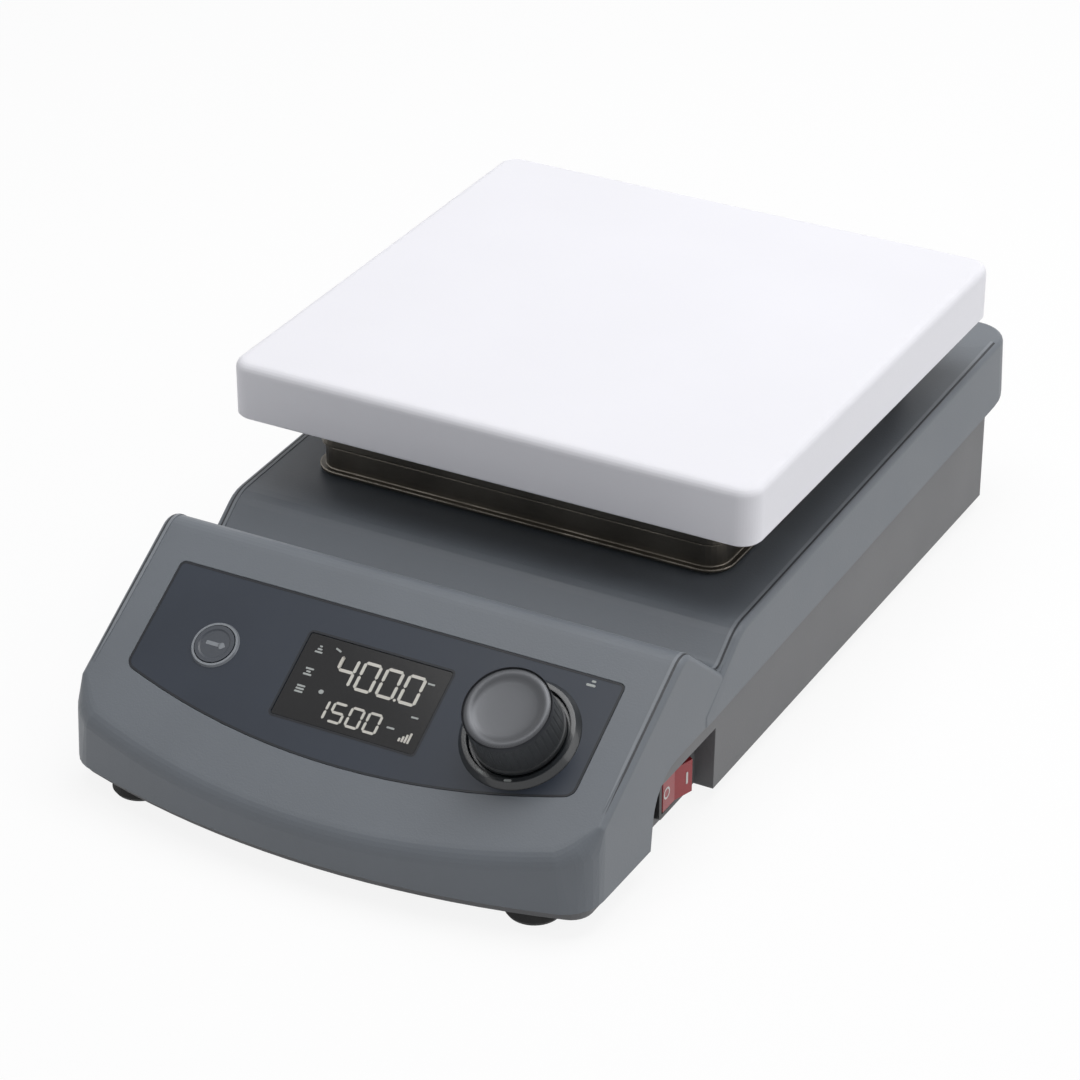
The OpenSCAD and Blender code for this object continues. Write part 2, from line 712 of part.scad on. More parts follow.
// Plate stack
boss_d = 16;
heater_w = plate_w - 2*heater_margin;
heater_d = plate_d - 2*heater_margin;
pan_w = plate_w - 2*pan_margin;
pan_d = plate_d - 2*pan_margin;
pan_z = plate_z - pan_drop;
heater_z = overall_h - plate_top_t - heater_t;
clamp_z = heater_z - clamp_t;
shield_z = well_z + seat;
shield_top = pan_z - shield_gap;
module plate_block(w, d, h, r, edge) {
  hull() for (x = [-1, 1], y = [-1, 1]) translate([x*(w/2 - r), y*(d/2 - r), 0]) {
    rotate_extrude($fn = 48) polygon([[0, 0], [r - 0.6, 0], [r, 0.6], [r, h - edge],
      for (i = [1:5]) [r - edge + edge*cos(18*i), h - edge + edge*sin(18*i)], [0, h]]);
  }
}
module heat_plate() {
  color([0.93, 0.93, 0.95]) difference() {
    union() {
      difference() {
        at_plate(plate_z) plate_block(plate_w, plate_d, plate_h, plate_corner_r, plate_edge_r);
        at_plate(plate_z - cut)
          block(plate_w - 2*plate_skirt_t, plate_d - 2*plate_skirt_t, plate_h - plate_top_t + cut, 5);
      }
      at_pillars(plate_z + seat) cylinder(h = plate_h - plate_top_t + cut, d = boss_d);
    }
    at_pillars(plate_z) cylinder(h = plate_h - plate_top_t + 3, d = pillar_stud_d);
    // groove for the temperature sensor
    at_plate(overall_h - plate_top_t) rotate([90, 0, 0])
      cylinder(h = 30, d = sensor_d + 0.2, center = true);
  }
}
pillar_stud_d = 5;
module heating_element() {
  color([0.62, 0.5, 0.32]) difference() {
    at_plate(heater_z) union() {
      block(heater_w, heater_d, heater_t, 8);
      for (x = [-9, 9]) translate([x, -heater_d/2 - 4, 0]) block(6, 12, 1, 0.5);
    }
    at_pillars(heater_z - cut) cylinder(h = 10, d = boss_d + 1);
    at_plate(heater_z - cut) cylinder(h = 10, d = 2*cutout_d + 6);
  }
}
module heater_clamp() {
  color([0.72, 0.72, 0.72]) difference() {
    at_plate(clamp_z) block(heater_w - 4, heater_d - 4, clamp_t, 8);
    at_pillars(clamp_z - cut) cylinder(h = 10, d = boss_d + 1);
    at_plate(clamp_z - cut) cylinder(h = 10, d = cutout_d + 1);
  }
}
module insulation_pad() {
  pad_z = pan_z + sheet_t;
  color([0.9, 0.89, 0.84]) difference() {
    at_plate(pad_z) block(pan_w - 2*sheet_t - 1, pan_d - 2*sheet_t - 1, clamp_z - pad_z, sheet_corner_r - 1);
    at_pillars(pad_z - cut) cylinder(h = 40, d = boss_d + 2);
    at_plate(pad_z - cut) cylinder(h = 40, d = cutout_d + 4);
  }
}
module heater_pan() {
  color([0.66, 0.65, 0.63]) difference() {
    at_plate(pan_z) block(pan_w, pan_d, plate_z + 2 - pan_z, sheet_corner_r);
    at_plate(pan_z + sheet_t) block(pan_w - 2*sheet_t, pan_d - 2*sheet_t, 40, sheet_corner_r - sheet_t);
    at_pillars(pan_z - cut) cylinder(h = 10, d = pillar_d + 0.6);
  }
}
module heat_shield() {
  color([0.7, 0.69, 0.67]) difference() {
    union() {
      at_plate(shield_z) block(shield_w, shield_d, shield_top - shield_z, sheet_corner_r);
      at_plate(shield_z) block(shield_w + 2*shield_rim, shield_d + 2*shield_rim, sheet_t,
                               sheet_corner_r + shield_rim);
    }
    at_plate(shield_z - cut) block(shield_w - 2*sheet_t, shield_d - 2*sheet_t,
                                   shield_top - sheet_t - shield_z + cut, sheet_corner_r - sheet_t);
    at_pillars(shield_z) cylinder(h = shield_top - shield_z + cut, d = pillar_d + 0.6);
  }
}
module plate_pillars() {
  color([0.78, 0.78, 0.78]) difference() {
    at_pillars() {
      translate([0, 0, well_z]) cylinder(h = shield_top - sheet_t - well_z, d = collar_d);
      translate([0, 0, well_z]) cylinder(h = plate_z + seat - well_z, d = pillar_d);
      translate([0, 0, plate_z]) cylinder(h = 10, d = pillar_stud_d - 0.1);
    }
    at_pillars(well_z - cut) cylinder(h = 9, d = 4.2);
  }
}
module pillar_screws() {
  color([0.75, 0.75, 0.76]) at_pillars(well_z - well_floor_t)
    socket_screw(4.2, well_floor_t + 7, 8, 2.6);
}
module plate_sensor() {
  color([0.8, 0.8, 0.8]) at_plate(overall_h - plate_top_t) rotate([90, 0, 0])
    cylinder(h = 28, d = sensor_d, center = true);
}
module heat_cutout() {
  color([0.85, 0.84, 0.8]) at_plate(clamp_z - 6) difference() {
    union() {
      cylinder(h = overall_h - plate_top_t - sensor_d/2 - seat - clamp_z + 6, d = cutout_d);
      for (x = [-4, 4]) translate([x - 2, -0.4, -6]) cube([4, 0.8, 7]);
    }
    for (x = [-4, 4]) translate([x, cut, -4]) rotate([90, 0, 0]) cylinder(h = 2*cut, d = 1.6);
  }
}

// Stirring drive, hung under the well
magnet_top = shield_top - sheet_t - 0.8;
carrier_t = 3;
carrier_z = magnet_top - magnet_h - carrier_t;
bracket_drop = 8;
bracket_z = well_z - well_floor_t - bracket_drop;
motor_z = bracket_z - motor_h;
hub_gap = 1.5;
hub_h = carrier_z - bracket_z - bracket_t - hub_gap;
module motor_can() {
  color([0.25, 0.25, 0.27]) at_plate(motor_z) difference() {
    cylinder(h = motor_h, d = motor_d);
    translate([0, 0, motor_wall + bearing_h]) cylinder(h = motor_h - 2*motor_wall - 2*bearing_h, d = motor_d - 2*motor_wall);
    translate([0, 0, motor_wall]) cylinder(h = motor_h - motor_wall + cut, d = bearing_d);
    translate([0, 0, motor_h - 4]) for (a = [45:90:315])
      rotate(a) translate([motor_screw_r, 0, 0]) cylinder(h = 5, d = 2.4);
  }
}
motor_screw_r = 13;
module motor_stator() {
  inner = motor_d - 2*motor_wall;
  stack_h = motor_h - 2*motor_wall - 2*bearing_h - 2;
  color([0.6, 0.36, 0.2]) at_plate(motor_z + motor_wall + bearing_h + 1) difference() {
    tube(inner - 0.02, inner*0.56, stack_h);
    for (a = [0:40:320]) rotate(a) translate([inner*0.36, 0, -cut]) {
      cylinder(h = stack_h + 2*cut, d = 5);
      translate([-inner*0.14, -0.8, 0]) cube([inner*0.14, 1.6, stack_h + 2*cut]);
    }
  }
}
module motor_bearings() {
  color([0.8, 0.8, 0.82]) for (z = [motor_z + motor_wall, motor_z + motor_h - bearing_h])
    at_plate(z) tube(bearing_d - 0.02, shaft_d + 2*run_clear, bearing_h);
}
module motor_bracket() {
  color([0.7, 0.71, 0.72]) difference() {
    at_plate(bracket_z) block(2*bracket_x + 14, 2*bracket_y + 14, bracket_t, 6);
    at_plate(bracket_z - cut) cylinder(h = 10, d = bearing_d + 4);
    at_bracket_posts(bracket_z - cut) cylinder(h = 10, d = 3.4);
    at_plate(bracket_z - cut) for (a = [45:90:315])
      rotate(a) translate([motor_screw_r, 0, 0]) cylinder(h = 10, d = 2.8);
    for (x = [-1, 1]) at_plate(bracket_z - cut) translate([x*36, 0, 0]) block(12, 34, 10, 4);
  }
}
module motor_grommets() {
  color([0.1, 0.1, 0.1]) at_bracket_posts(bracket_z + bracket_t) tube(8, 3.4, grommet_h);
}
module bracket_screws() {
  color([0.75, 0.75, 0.76]) {
    at_bracket_posts(bracket_z) {
      cylinder(h = bracket_t + grommet_h + 4, d = 2.6);
      translate([0, 0, -1.8]) cylinder(h = 1.8, d = 6);
    }
    at_plate(bracket_z + bracket_t) for (a = [45:90:315]) rotate(a) translate([motor_screw_r, 0, 0]) {
      translate([0, 0, -bracket_t - 3]) cylinder(h = bracket_t + 3, d = 2.4);
      cylinder(h = 1.6, d = 4.6);
    }
  }
}
module motor_shaft() {
  color([0.85, 0.85, 0.87]) at_plate(motor_z + motor_wall + 0.4)
    cylinder(h = carrier_z + carrier_t - motor_z - motor_wall - 0.4, d = shaft_d);
}
module motor_rotor() {
  inner = motor_d - 2*motor_wall;
  color([0.35, 0.35, 0.38]) at_plate(motor_z + motor_wall + bearing_h + 1.5)
    tube(inner*0.56 - 1.2, shaft_d, motor_h - 2*motor_wall - 2*bearing_h - 3);
}
module magnet_carrier() {
  color([0.3, 0.31, 0.33]) at_plate(carrier_z) difference() {
    union() {
      intersection() {
        block(carrier_len, carrier_w, carrier_t, 2);
        cylinder(h = carrier_t, d = carrier_len);
      }
      translate([0, 0, -hub_h]) cylinder(h = hub_h + 1, d = 14);
    }
    translate([0, 0, -hub_h - cut]) cylinder(h = 20, d = shaft_d);
    translate([0, 0, -hub_h/2]) rotate([0, 90, 0]) cylinder(h = 10, d = 2.4);
  }
}
module drive_magnets() {
  color([0.75, 0.75, 0.78]) for (side = [-1, 1])
    at_plate(carrier_z + carrier_t) translate([side*(carrier_len/2 - magnet_len/2 - 2), 0, 0])
      block(magnet_len, carrier_w - 2, magnet_h, 1);
}

// Control panel
module overlay_outline(gap = 0) {
  bowed_outline(overlay_hw + gap, gap - overlay_top, overlay_r + gap, overlay_r - overlay_bottom,
                overlay_top_r, overlay_low_r);
}
encoder_bush_d = 7;
encoder_bush_rise = 0.5;
module control_overlay() {
  color([0.2, 0.23, 0.27]) difference() {
    on_slope(0, 0, -overlay_t) linear_extrude(overlay_t) overlay_outline();
    on_slope(0, window_s, -5) block(window_w + 0.4, window_h + 0.4, 10, 1);
    on_slope(button_x, button_s, -5) cylinder(h = 10, d = button_d + 0.6);
    on_slope(knob_x, button_s, -5) cylinder(h = 10, d = encoder_bush_d + 0.4);
  }
}
module display_window() {
  color([0.03, 0.03, 0.04]) on_slope(0, window_s, -overlay_t - window_t)
    block(window_w, window_h, overlay_t + window_t - 0.15, 0.8);
}
module display_module() {
  color([0.12, 0.16, 0.13]) on_slope(0, window_s, -board_depth) difference() {
    block(window_w + 9, window_h + 8, board_depth - wall - seat, 1);
    translate([0, 0, board_depth - wall - seat - 0.8]) block(window_w - 3, window_h - 3, 5, 0.5);
  }
}
board_hw = overlay_hw - 6;
board_top = overlay_top + 4.3;
board_bottom = overlay_bottom - 6.7;
board_screw_x = board_hw - 5;
module control_board() {
  mid = (board_top + board_bottom)/2;
  color([0.1, 0.35, 0.2]) difference() {
    on_slope(0, mid, -board_depth - board_t) block(2*board_hw, board_bottom - board_top, board_t, 2);
    for (x = [-1, 1], s = [board_top + 4, board_bottom - 4])
      on_slope(x*board_screw_x, s, -board_depth - 5) cylinder(h = 10, d = 2.6);
  }
}
module board_screws() {
  color([0.75, 0.75, 0.76]) for (x = [-1, 1], s = [board_top + 4, board_bottom - 4])
    on_slope(x*board_screw_x, s, -board_depth - board_t) {
      cylinder(h = board_t + 5, d = 2);
      translate([0, 0, -1.4]) cylinder(h = 1.4, d = 4);
    }
}
module button_ring() {
  color([0.6, 0.63, 0.66]) on_slope(button_x, button_s, 0) difference() {
    cylinder(h = 0.7, d1 = button_ring_d, d2 = button_ring_d - 0.8);
    translate([0, 0, -cut]) cylinder(h = 5, d = button_d + 0.6);
  }
}
button_lip = 1;
button_rise = 0.9;
button_top_t = 2;
button_switch_h = 3.8;
module mode_button() {
  lip_foot = -wall - seat - button_lip;
  color([0.22, 0.25, 0.29]) on_slope(button_x, button_s, 0) difference() {
    union() {
      translate([0, 0, lip_foot]) cylinder(h = button_rise - lip_foot, d = button_d);
      translate([0, 0, lip_foot]) cylinder(h = button_lip, d = button_d + 3);
    }
    translate([0, 0, button_rise - 0.3]) cylinder(h = cut, d1 = button_d - 3.4, d2 = button_d);
    translate([0, 0, lip_foot - cut]) cylinder(h = cut - lip_foot - button_top_t, d = button_d - 3);
  }
}
module button_plunger() {
  foot = button_switch_h + button_travel + 0.1 - board_depth;
  color([0.85, 0.85, 0.83]) on_slope(button_x, button_s, foot)
    cylinder(h = -button_top_t - foot, d = 3.4);
}
module button_switch() {
  color([0.12, 0.12, 0.13]) on_slope(button_x, button_s, -board_depth) {
    block(6, 6, button_switch_h - 0.4, 0.4);
    cylinder(h = button_switch_h, d = 3.2);
  }
}
module knob_ring() {
  color([0.34, 0.37, 0.4]) on_slope(knob_x, button_s, 0) difference() {
    cylinder(h = ring_h, d1 = ring_d, d2 = ring_d - 3);
    translate([0, 0, 0.6]) cylinder(h = 5, d1 = knob_d + 1.6, d2 = knob_d + 4.6);
    translate([0, 0, -cut]) cylinder(h = 5, d = encoder_bush_d + 0.4);
  }
}
encoder_w = 12.4;
rotor_t = 2;
module encoder_body() {
  body_h = board_depth - wall - seat;
  color([0.45, 0.47, 0.5]) on_slope(knob_x, button_s, -board_depth) difference() {
    union() {
      block(encoder_w, encoder_w, body_h, 0.8);
      cylinder(h = board_depth + encoder_bush_rise, d = encoder_bush_d);
    }
    translate([0, 0, 1]) cylinder(h = body_h - 2, d = encoder_w - 2);
    translate([0, 0, 1]) cylinder(h = board_depth + 5, d = encoder_shaft_d + 2*run_clear);
  }
}
module encoder_rotor() {
  color([0.8, 0.76, 0.6]) on_slope(knob_x, button_s, -board_depth + 1 + 1.2)
    tube(encoder_w - 2.4, encoder_shaft_d + 2*run_clear, rotor_t);
}
shaft_top = 11;
module encoder_shaft() {
  color([0.82, 0.82, 0.84]) on_slope(knob_x, button_s, -board_depth + 1 + 1.2)
    cylinder(h = board_depth - 2.2 + shaft_top, d = encoder_shaft_d);
}
knob_foot = 1.4;
cap_t = 1.5;
module control_knob() {
  color([0.12, 0.13, 0.14]) on_slope(knob_x, button_s, 0) difference() {
    union() {
      translate([0, 0, knob_foot + 1.6]) cylinder(h = knob_h - knob_foot - 3, d1 = knob_d - 0.8, d2 = knob_top_d);
      translate([0, 0, knob_foot]) cylinder(h = 1.6, d = knob_d);
      translate([0, 0, knob_h - 1.4]) rotate_extrude() polygon(
        [[0, 0], [knob_top_d/2, 0], for (i = [0:4]) [knob_top_d/2 - 1.4 + 1.4*cos(22.5*i), 1.4*sin(22.5*i)], [0, 1.4]]);
    }
    for (i = [0:knob_ribs - 1]) rotate(i*360/knob_ribs)
      translate([knob_d/2 + 0.25, 0, knob_foot + 2.2]) rotate([0, -4, 0])
        cylinder(h = knob_h - knob_foot - 4.4, d = 1.5, $fn = 16);
    translate([0, 0, knob_h - cap_t]) cylinder(h = 5, d = knob_top_d - 4);
    translate([0, 0, -cut]) cylinder(h = shaft_top + cut, d = encoder_shaft_d);
    translate([0, 0, knob_foot - cut]) difference() {
      cylinder(h = knob_h - 6, d = knob_d - 5);
      cylinder(h = knob_h, d = encoder_shaft_d + 5);
    }
  }
}
module knob_cap() {
  color([0.58, 0.6, 0.62]) on_slope(knob_x, button_s, knob_h - cap_t) difference() {
    cylinder(h = cap_t + 0.2, d = knob_top_d - 4.05);
    translate([0, 0, 61.2]) sphere(60, $fn = 96);
  }
}

// Power electronics on the floor
board_z = floor_z + 5;
power_w = 56;
power_l = 104;
power_x = 39 - housing_hw;
power_y = plate_cy - 8;
module at_power_corners(z) {
  for (x = [-1, 1], y = [-1, 1])
    translate([power_x + x*(power_w/2 - 4), power_y + y*(power_l/2 - 4), z]) children();
}
module power_board() {
  color([0.12, 0.32, 0.2]) difference() {
    translate([power_x, power_y, board_z]) block(power_w, power_l, board_t, 2);
    at_power_corners(board_z - cut) cylinder(h = 5, d = 3.2);
  }
}
module power_board_posts() {
  color([0.85, 0.84, 0.8]) at_power_corners(floor_z) {
    cylinder(h = board_z - floor_z, d = 7);
    cylinder(h = board_z - floor_z + board_t + 0.8, d = 3);
    translate([0, 0, board_z - floor_z + board_t]) cylinder(h = 1.2, d1 = 5, d2 = 3.6);
  }
}
core_w = 40;
core_d = 34;
core_h = 22;
window_slot_w = 7;
coil_w = 16;
module transformer() {
  slot_x = coil_w/2 + window_slot_w/2 + 1;
  color([0.55, 0.42, 0.2]) translate([power_x, power_y + power_l/4, board_z + board_t]) {
    difference() {
      block(core_w, core_d, core_h, 1);
      for (x = [-1, 1]) translate([x*slot_x, 0, -cut]) block(window_slot_w, core_d + 2*cut, 0.77*core_h, 0.5);
    }
    for (y = [-1, 1]) translate([0, y*(core_d/2 + 2), 3]) block(coil_w, 5, core_h - 6, 1.5);
  }
}
sink_w = 36;
sink_h = 24;
fin_l = 11;
fin_t = 1.5;
fins = 7;
module heat_sink() {
  color([0.6, 0.61, 0.63]) translate([power_x - 6, power_y - 8, board_z + board_t]) {
    translate([-sink_w/2, -2, 0]) cube([sink_w, 4, sink_h]);
    for (i = [0:fins - 1])
      translate([i*(sink_w - fin_t)/(fins - 1) - sink_w/2, fin_t, 0]) cube([fin_t, fin_l, sink_h]);
    translate([-sink_w/6, -6.5, sink_h/4]) cube([sink_w/3, 4.6, 0.62*sink_h]);
  }
}
capacitor_d = 18;
capacitor_h = 24;
module capacitor() {
  color([0.16, 0.2, 0.42])
    translate([power_x + power_w/2 - capacitor_d + 2, power_y - power_l/2 + capacitor_d - 2, board_z + board_t]) {
      cylinder(h = capacitor_h, d = capacitor_d);
      translate([0, 0, capacitor_h]) cylinder(h = 1, d1 = capacitor_d, d2 = capacitor_d - 3);
    }
}

// Power switch in the side recess
rocker_y = front_y + rocker_setback;
switch_body_l = frame_l - 2.2;
switch_body_h = frame_h - 1.6;
pivot_x = recess_x - 1;
frame_t = 2;
module at_pivot() {
  translate([pivot_x, rocker_y, rocker_z]) children();
}
module switch_frame() {
  mouth = 2*rocker_r + 0.7;
  color([0.06, 0.06, 0.06]) difference() {
    union() {
      translate([recess_x, rocker_y, rocker_z]) rotate([90, 0, 90]) block(frame_l, frame_h, frame_t, 1.2);
      translate([recess_x - 20, rocker_y - switch_body_l/2, rocker_z - switch_body_h/2])
        cube([20, switch_body_l, switch_body_h]);
      for (y = [-6, 0, 6]) translate([recess_x - 27, rocker_y + y - 0.4, rocker_z - 2.4]) cube([8, 0.8, 4.8]);
    }
    at_pivot() translate([-6, -mouth/2, -rocker_h/2 - 0.2]) cube([20, mouth, rocker_h + 0.4]);
    at_pivot() cylinder(h = rocker_h + 1.4, d = 2.5 + 2*run_clear, center = true);
  }
}
module switch_rocker() {
  color([0.72, 0.1, 0.12]) at_pivot() rotate(-rocker_tilt) union() {
    linear_extrude(rocker_h, center = true) intersection() {
      circle(rocker_r, $fn = 96);
      polygon([
        [-4.6, -rocker_r], [4.4, -rocker_r], [3.1, 0], [4.4, rocker_r], [-4.6, rocker_r], [-5, 0]
      ]);
    }
    cylinder(h = rocker_h + 1, d = 2.5, center = true);
  }
}

// Mains inlet with its fuse drawer
inlet_z = body_z + 1.7 + inlet_w/2;
inlet_body_w = inlet_w - 4;
inlet_depth = 24;
inlet_flange_t = 2;
socket_w = 24.2;
socket_h = 16;
socket_z = inlet_z + 4.6;
drawer_w = 22;
drawer_h = 7.6;
drawer_z = inlet_z - 9.6;
drawer_len = 23;
fuse_len = 20;
fuse_pitch = 10.8;
pocket_y = 1.4;
module facing_rear(x, z, y = 0) {
  translate([x, body_rear_y + inlet_flange_t + y, z]) rotate([90, 0, 0]) children();
}
module mains_inlet() {
  color([0.06, 0.06, 0.07]) {
    difference() {
      union() {
        facing_rear(inlet_x, inlet_z) block(inlet_w, inlet_w, inlet_flange_t, 2);
        facing_rear(inlet_x, inlet_z) block(inlet_body_w, inlet_body_w, inlet_depth + inlet_flange_t, 1);
      }
      facing_rear(inlet_x, socket_z, cut) linear_extrude(17 + cut) polygon([
        [-socket_w/2, -socket_h/2], [socket_w/2, -socket_h/2], [socket_w/2, socket_h/2 - 5],
        [socket_w/2 - 5, socket_h/2], [5 - socket_w/2, socket_h/2], [-socket_w/2, socket_h/2 - 5]
      ]);
      facing_rear(inlet_x, drawer_z, cut) linear_extrude(drawer_len + 0.5 + cut)
        square([drawer_w + 0.4, drawer_h + 0.4], center = true);
    }
    for (pin = [[-7, -1], [7, -1], [0, 3]])
      facing_rear(inlet_x + pin[0], socket_z + pin[1], -3)
        linear_extrude(15) square([2, 4], center = true);
    for (x = [-7, 0, 7]) facing_rear(inlet_x + x, socket_z, -inlet_depth - inlet_flange_t + 0.5)
      linear_extrude(7) square([4.8, 0.8], center = true);
  }
}
module fuse_drawer() {
  color([0.1, 0.1, 0.11]) difference() {
    facing_rear(inlet_x, drawer_z) linear_extrude(drawer_len) square([drawer_w, drawer_h], center = true);
    for (side = [-1, 1]) facing_rear(inlet_x + side*fuse_pitch/2, drawer_z + 3.2, -pocket_y)
      linear_extrude(fuse_len + 0.4) square([5.8, 10], center = true);
    // finger notch in the drawer's front
    facing_rear(inlet_x, drawer_z + drawer_h/2, cut) cylinder(h = 1.6, d = 7);
  }
}
module fuses() {
  color([0.8, 0.83, 0.85]) for (side = [-1, 1])
    facing_rear(inlet_x + side*fuse_pitch/2, drawer_z + 0.8, -pocket_y - 0.2) {
      cylinder(h = fuse_len, d = 4.8);
      for (z = [0, fuse_len - 5]) translate([0, 0, z]) cylinder(h = 5, d = 5.1);
    }
}

// Socket for an outside temperature probe
probe_z = 22;
probe_body_d = probe_bore_d + 2.4;
probe_bore_len = 8;
module probe_socket() {
  color([0.55, 0.55, 0.57]) facing_rear(probe_x, probe_z) difference() {
    union() {
      cylinder(h = inlet_flange_t, d = probe_body_d + 4);
      cylinder(h = inlet_flange_t + 14, d = probe_body_d);
      translate([0, 0, inlet_flange_t + body_wall]) cylinder(h = 3, d = (probe_body_d + 4)/cos(30), $fn = 6);
    }
    translate([0, 0, -cut]) cylinder(h = probe_bore_len + cut, d = probe_bore_d);
    for (a = [0:45:180]) rotate(a) translate([probe_bore_d*0.28, 0, probe_bore_len - cut])
      cylinder(h = 5, d = 1.4);
  }
}

// Threaded bush for a support rod
rod_flange_z = deck_z(rod_y - rod_bush_d/2) - 0.9;
module rod_bush() {
  color([0.8, 0.8, 0.78]) translate([rod_x, rod_y, rod_flange_z]) difference() {
    union() {
      translate([0, 0, -rod_bush_h]) cylinder(h = rod_bush_h + 1, d = rod_bush_d - 0.02);
      cylinder(h = 1.6, d = rod_bush_d + 4);
    }
    translate([0, 0, -rod_bush_h + 1]) cylinder(h = 40, d = rod_hole_d);
  }
}

top_housing();
lower_body();
rubber_feet();
foot_screws();
housing_screws();
heat_plate();
heating_element();
heater_clamp();
insulation_pad();
heater_pan();
heat_shield();
plate_pillars();
pillar_screws();
plate_sensor();
heat_cutout();
motor_can();
motor_stator();
motor_bearings();
motor_bracket();
motor_grommets();
bracket_screws();
motor_shaft();
motor_rotor();
magnet_carrier();
drive_magnets();
control_overlay();
display_window();
display_module();
control_board();
board_screws();
button_ring();
mode_button();
button_plunger();
button_switch();
knob_ring();
encoder_body();
encoder_rotor();
encoder_shaft();
control_knob();
knob_cap();
power_board();
transformer();
heat_sink();
capacitor();
power_board_posts();
switch_frame();
switch_rocker();
mains_inlet();
fuse_drawer();
fuses();
probe_socket();
rod_bush();
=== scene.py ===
# %% [markdown]
# # A hotplate magnetic stirrer
# The solids of the instrument come packed from CAD, in metres, with +Z up and the control panel
# facing -Y. This notebook dresses them: every finish is built from shader nodes, and the few things
# that a film printer or a turned cap adds, such as lit digits and printed marks, are modelled here.
# Nothing that CAD made is moved, and only the plain knob cap gives way to a finer crown.

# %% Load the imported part
import json
import math
import bpy
from mathutils import Matrix, Vector


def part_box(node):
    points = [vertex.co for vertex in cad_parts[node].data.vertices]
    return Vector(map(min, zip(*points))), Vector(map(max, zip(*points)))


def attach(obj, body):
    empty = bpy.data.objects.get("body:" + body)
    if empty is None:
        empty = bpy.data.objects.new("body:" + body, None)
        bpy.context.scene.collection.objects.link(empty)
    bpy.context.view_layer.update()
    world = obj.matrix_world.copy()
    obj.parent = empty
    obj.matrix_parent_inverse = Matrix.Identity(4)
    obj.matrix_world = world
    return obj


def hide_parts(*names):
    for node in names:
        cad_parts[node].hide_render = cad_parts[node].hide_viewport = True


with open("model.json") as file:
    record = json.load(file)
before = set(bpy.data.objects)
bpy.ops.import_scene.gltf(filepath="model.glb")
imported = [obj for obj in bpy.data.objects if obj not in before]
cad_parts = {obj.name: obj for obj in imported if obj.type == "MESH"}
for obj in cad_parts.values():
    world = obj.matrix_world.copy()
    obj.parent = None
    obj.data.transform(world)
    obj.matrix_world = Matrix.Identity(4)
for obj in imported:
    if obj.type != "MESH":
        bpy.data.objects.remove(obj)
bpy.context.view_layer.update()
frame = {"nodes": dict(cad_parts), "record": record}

nodes = frame["nodes"]

# %% [markdown]
# ## Camera
# The photograph looks down on the front and the right side with a long lens, so the lines of the
# case hardly converge. A camera is set by the point that it looks at, two angles and a distance:
# that is how a photographer would describe the shot, and it is easy to correct by one number at a
# time.

# %% Camera
LOOK_AT = Vector((0.049, -0.10275, 0.099))
TURN, RISE, DISTANCE = math.radians(28.38), math.radians(29.6), 1.095
FOCAL_LENGTH, SENSOR_WIDTH = 126.23, 36.0
NEAREST, FARTHEST = 0.01, 50.0

away = Vector((math.sin(TURN) * math.cos(RISE), -math.cos(TURN) * math.cos(RISE), math.sin(RISE)))
lens = bpy.data.cameras.new("camera")
lens.lens, lens.sensor_width = FOCAL_LENGTH, SENSOR_WIDTH
lens.clip_start, lens.clip_end = NEAREST, FARTHEST
camera = bpy.data.objects.new("camera", lens)
camera.location = LOOK_AT + away * DISTANCE
camera.rotation_euler = away.to_track_quat("Z", "Y").to_euler()
bpy.context.scene.collection.objects.link(camera)
bpy.context.scene.camera = camera
print("camera at", tuple(round(value, 4) for value in camera.location))

# %% [markdown]
# ## Studio
# The white background comes from the colour that the camera and the reflections see, through Light
# Path, and not from more light on the object. The floor keeps the shadow.

# %% What looks at the background
WHITE = (1.0, 1.0, 1.0, 1.0)
DAYLIGHT = (0.96, 0.97, 1.0, 1.0)
FLOOR_WHITE = (0.93, 0.93, 0.93, 1.0)


def is_seen(tree):
    """1 for rays that look at the background, straight, by reflection or through glass."""
    path = tree.nodes.new("ShaderNodeLightPath")
    total = path.outputs["Is Camera Ray"]
    for ray in ("Is Glossy Ray", "Is Transmission Ray"):
        add = tree.nodes.new("ShaderNodeMath")
        add.operation, add.use_clamp = "ADD", True
        tree.links.new(total, add.inputs[0])
        tree.links.new(path.outputs[ray], add.inputs[1])
        total = add.outputs[0]
    return total


# %% World
def studio_world(ambient):
    """White to whatever looks at it, and a weak even fill for everything that it lights."""
    world = bpy.data.worlds.new("studio")
    world.use_nodes = True
    tree = world.node_tree
    tree.nodes.clear()
    mix = tree.nodes.new("ShaderNodeMixShader")
    tree.links.new(is_seen(tree), mix.inputs[0])
    for socket, colour, strength in ((1, DAYLIGHT, ambient), (2, WHITE, 1.0)):
        light = tree.nodes.new("ShaderNodeBackground")
        light.inputs["Color"].default_value = colour
        light.inputs["Strength"].default_value = strength
        tree.links.new(light.outputs[0], mix.inputs[socket])
    out = tree.nodes.new("ShaderNodeOutputWorld")
    tree.links.new(mix.outputs[0], out.inputs["Surface"])
    bpy.context.scene.world = world


studio_world(ambient=0.27)
print("world", bpy.context.scene.world.name)

# %% Floor
def clear_selection():
    """Operators act on all that is selected, so each piece starts from nothing selected."""
    bpy.ops.object.select_all(action="DESELECT")


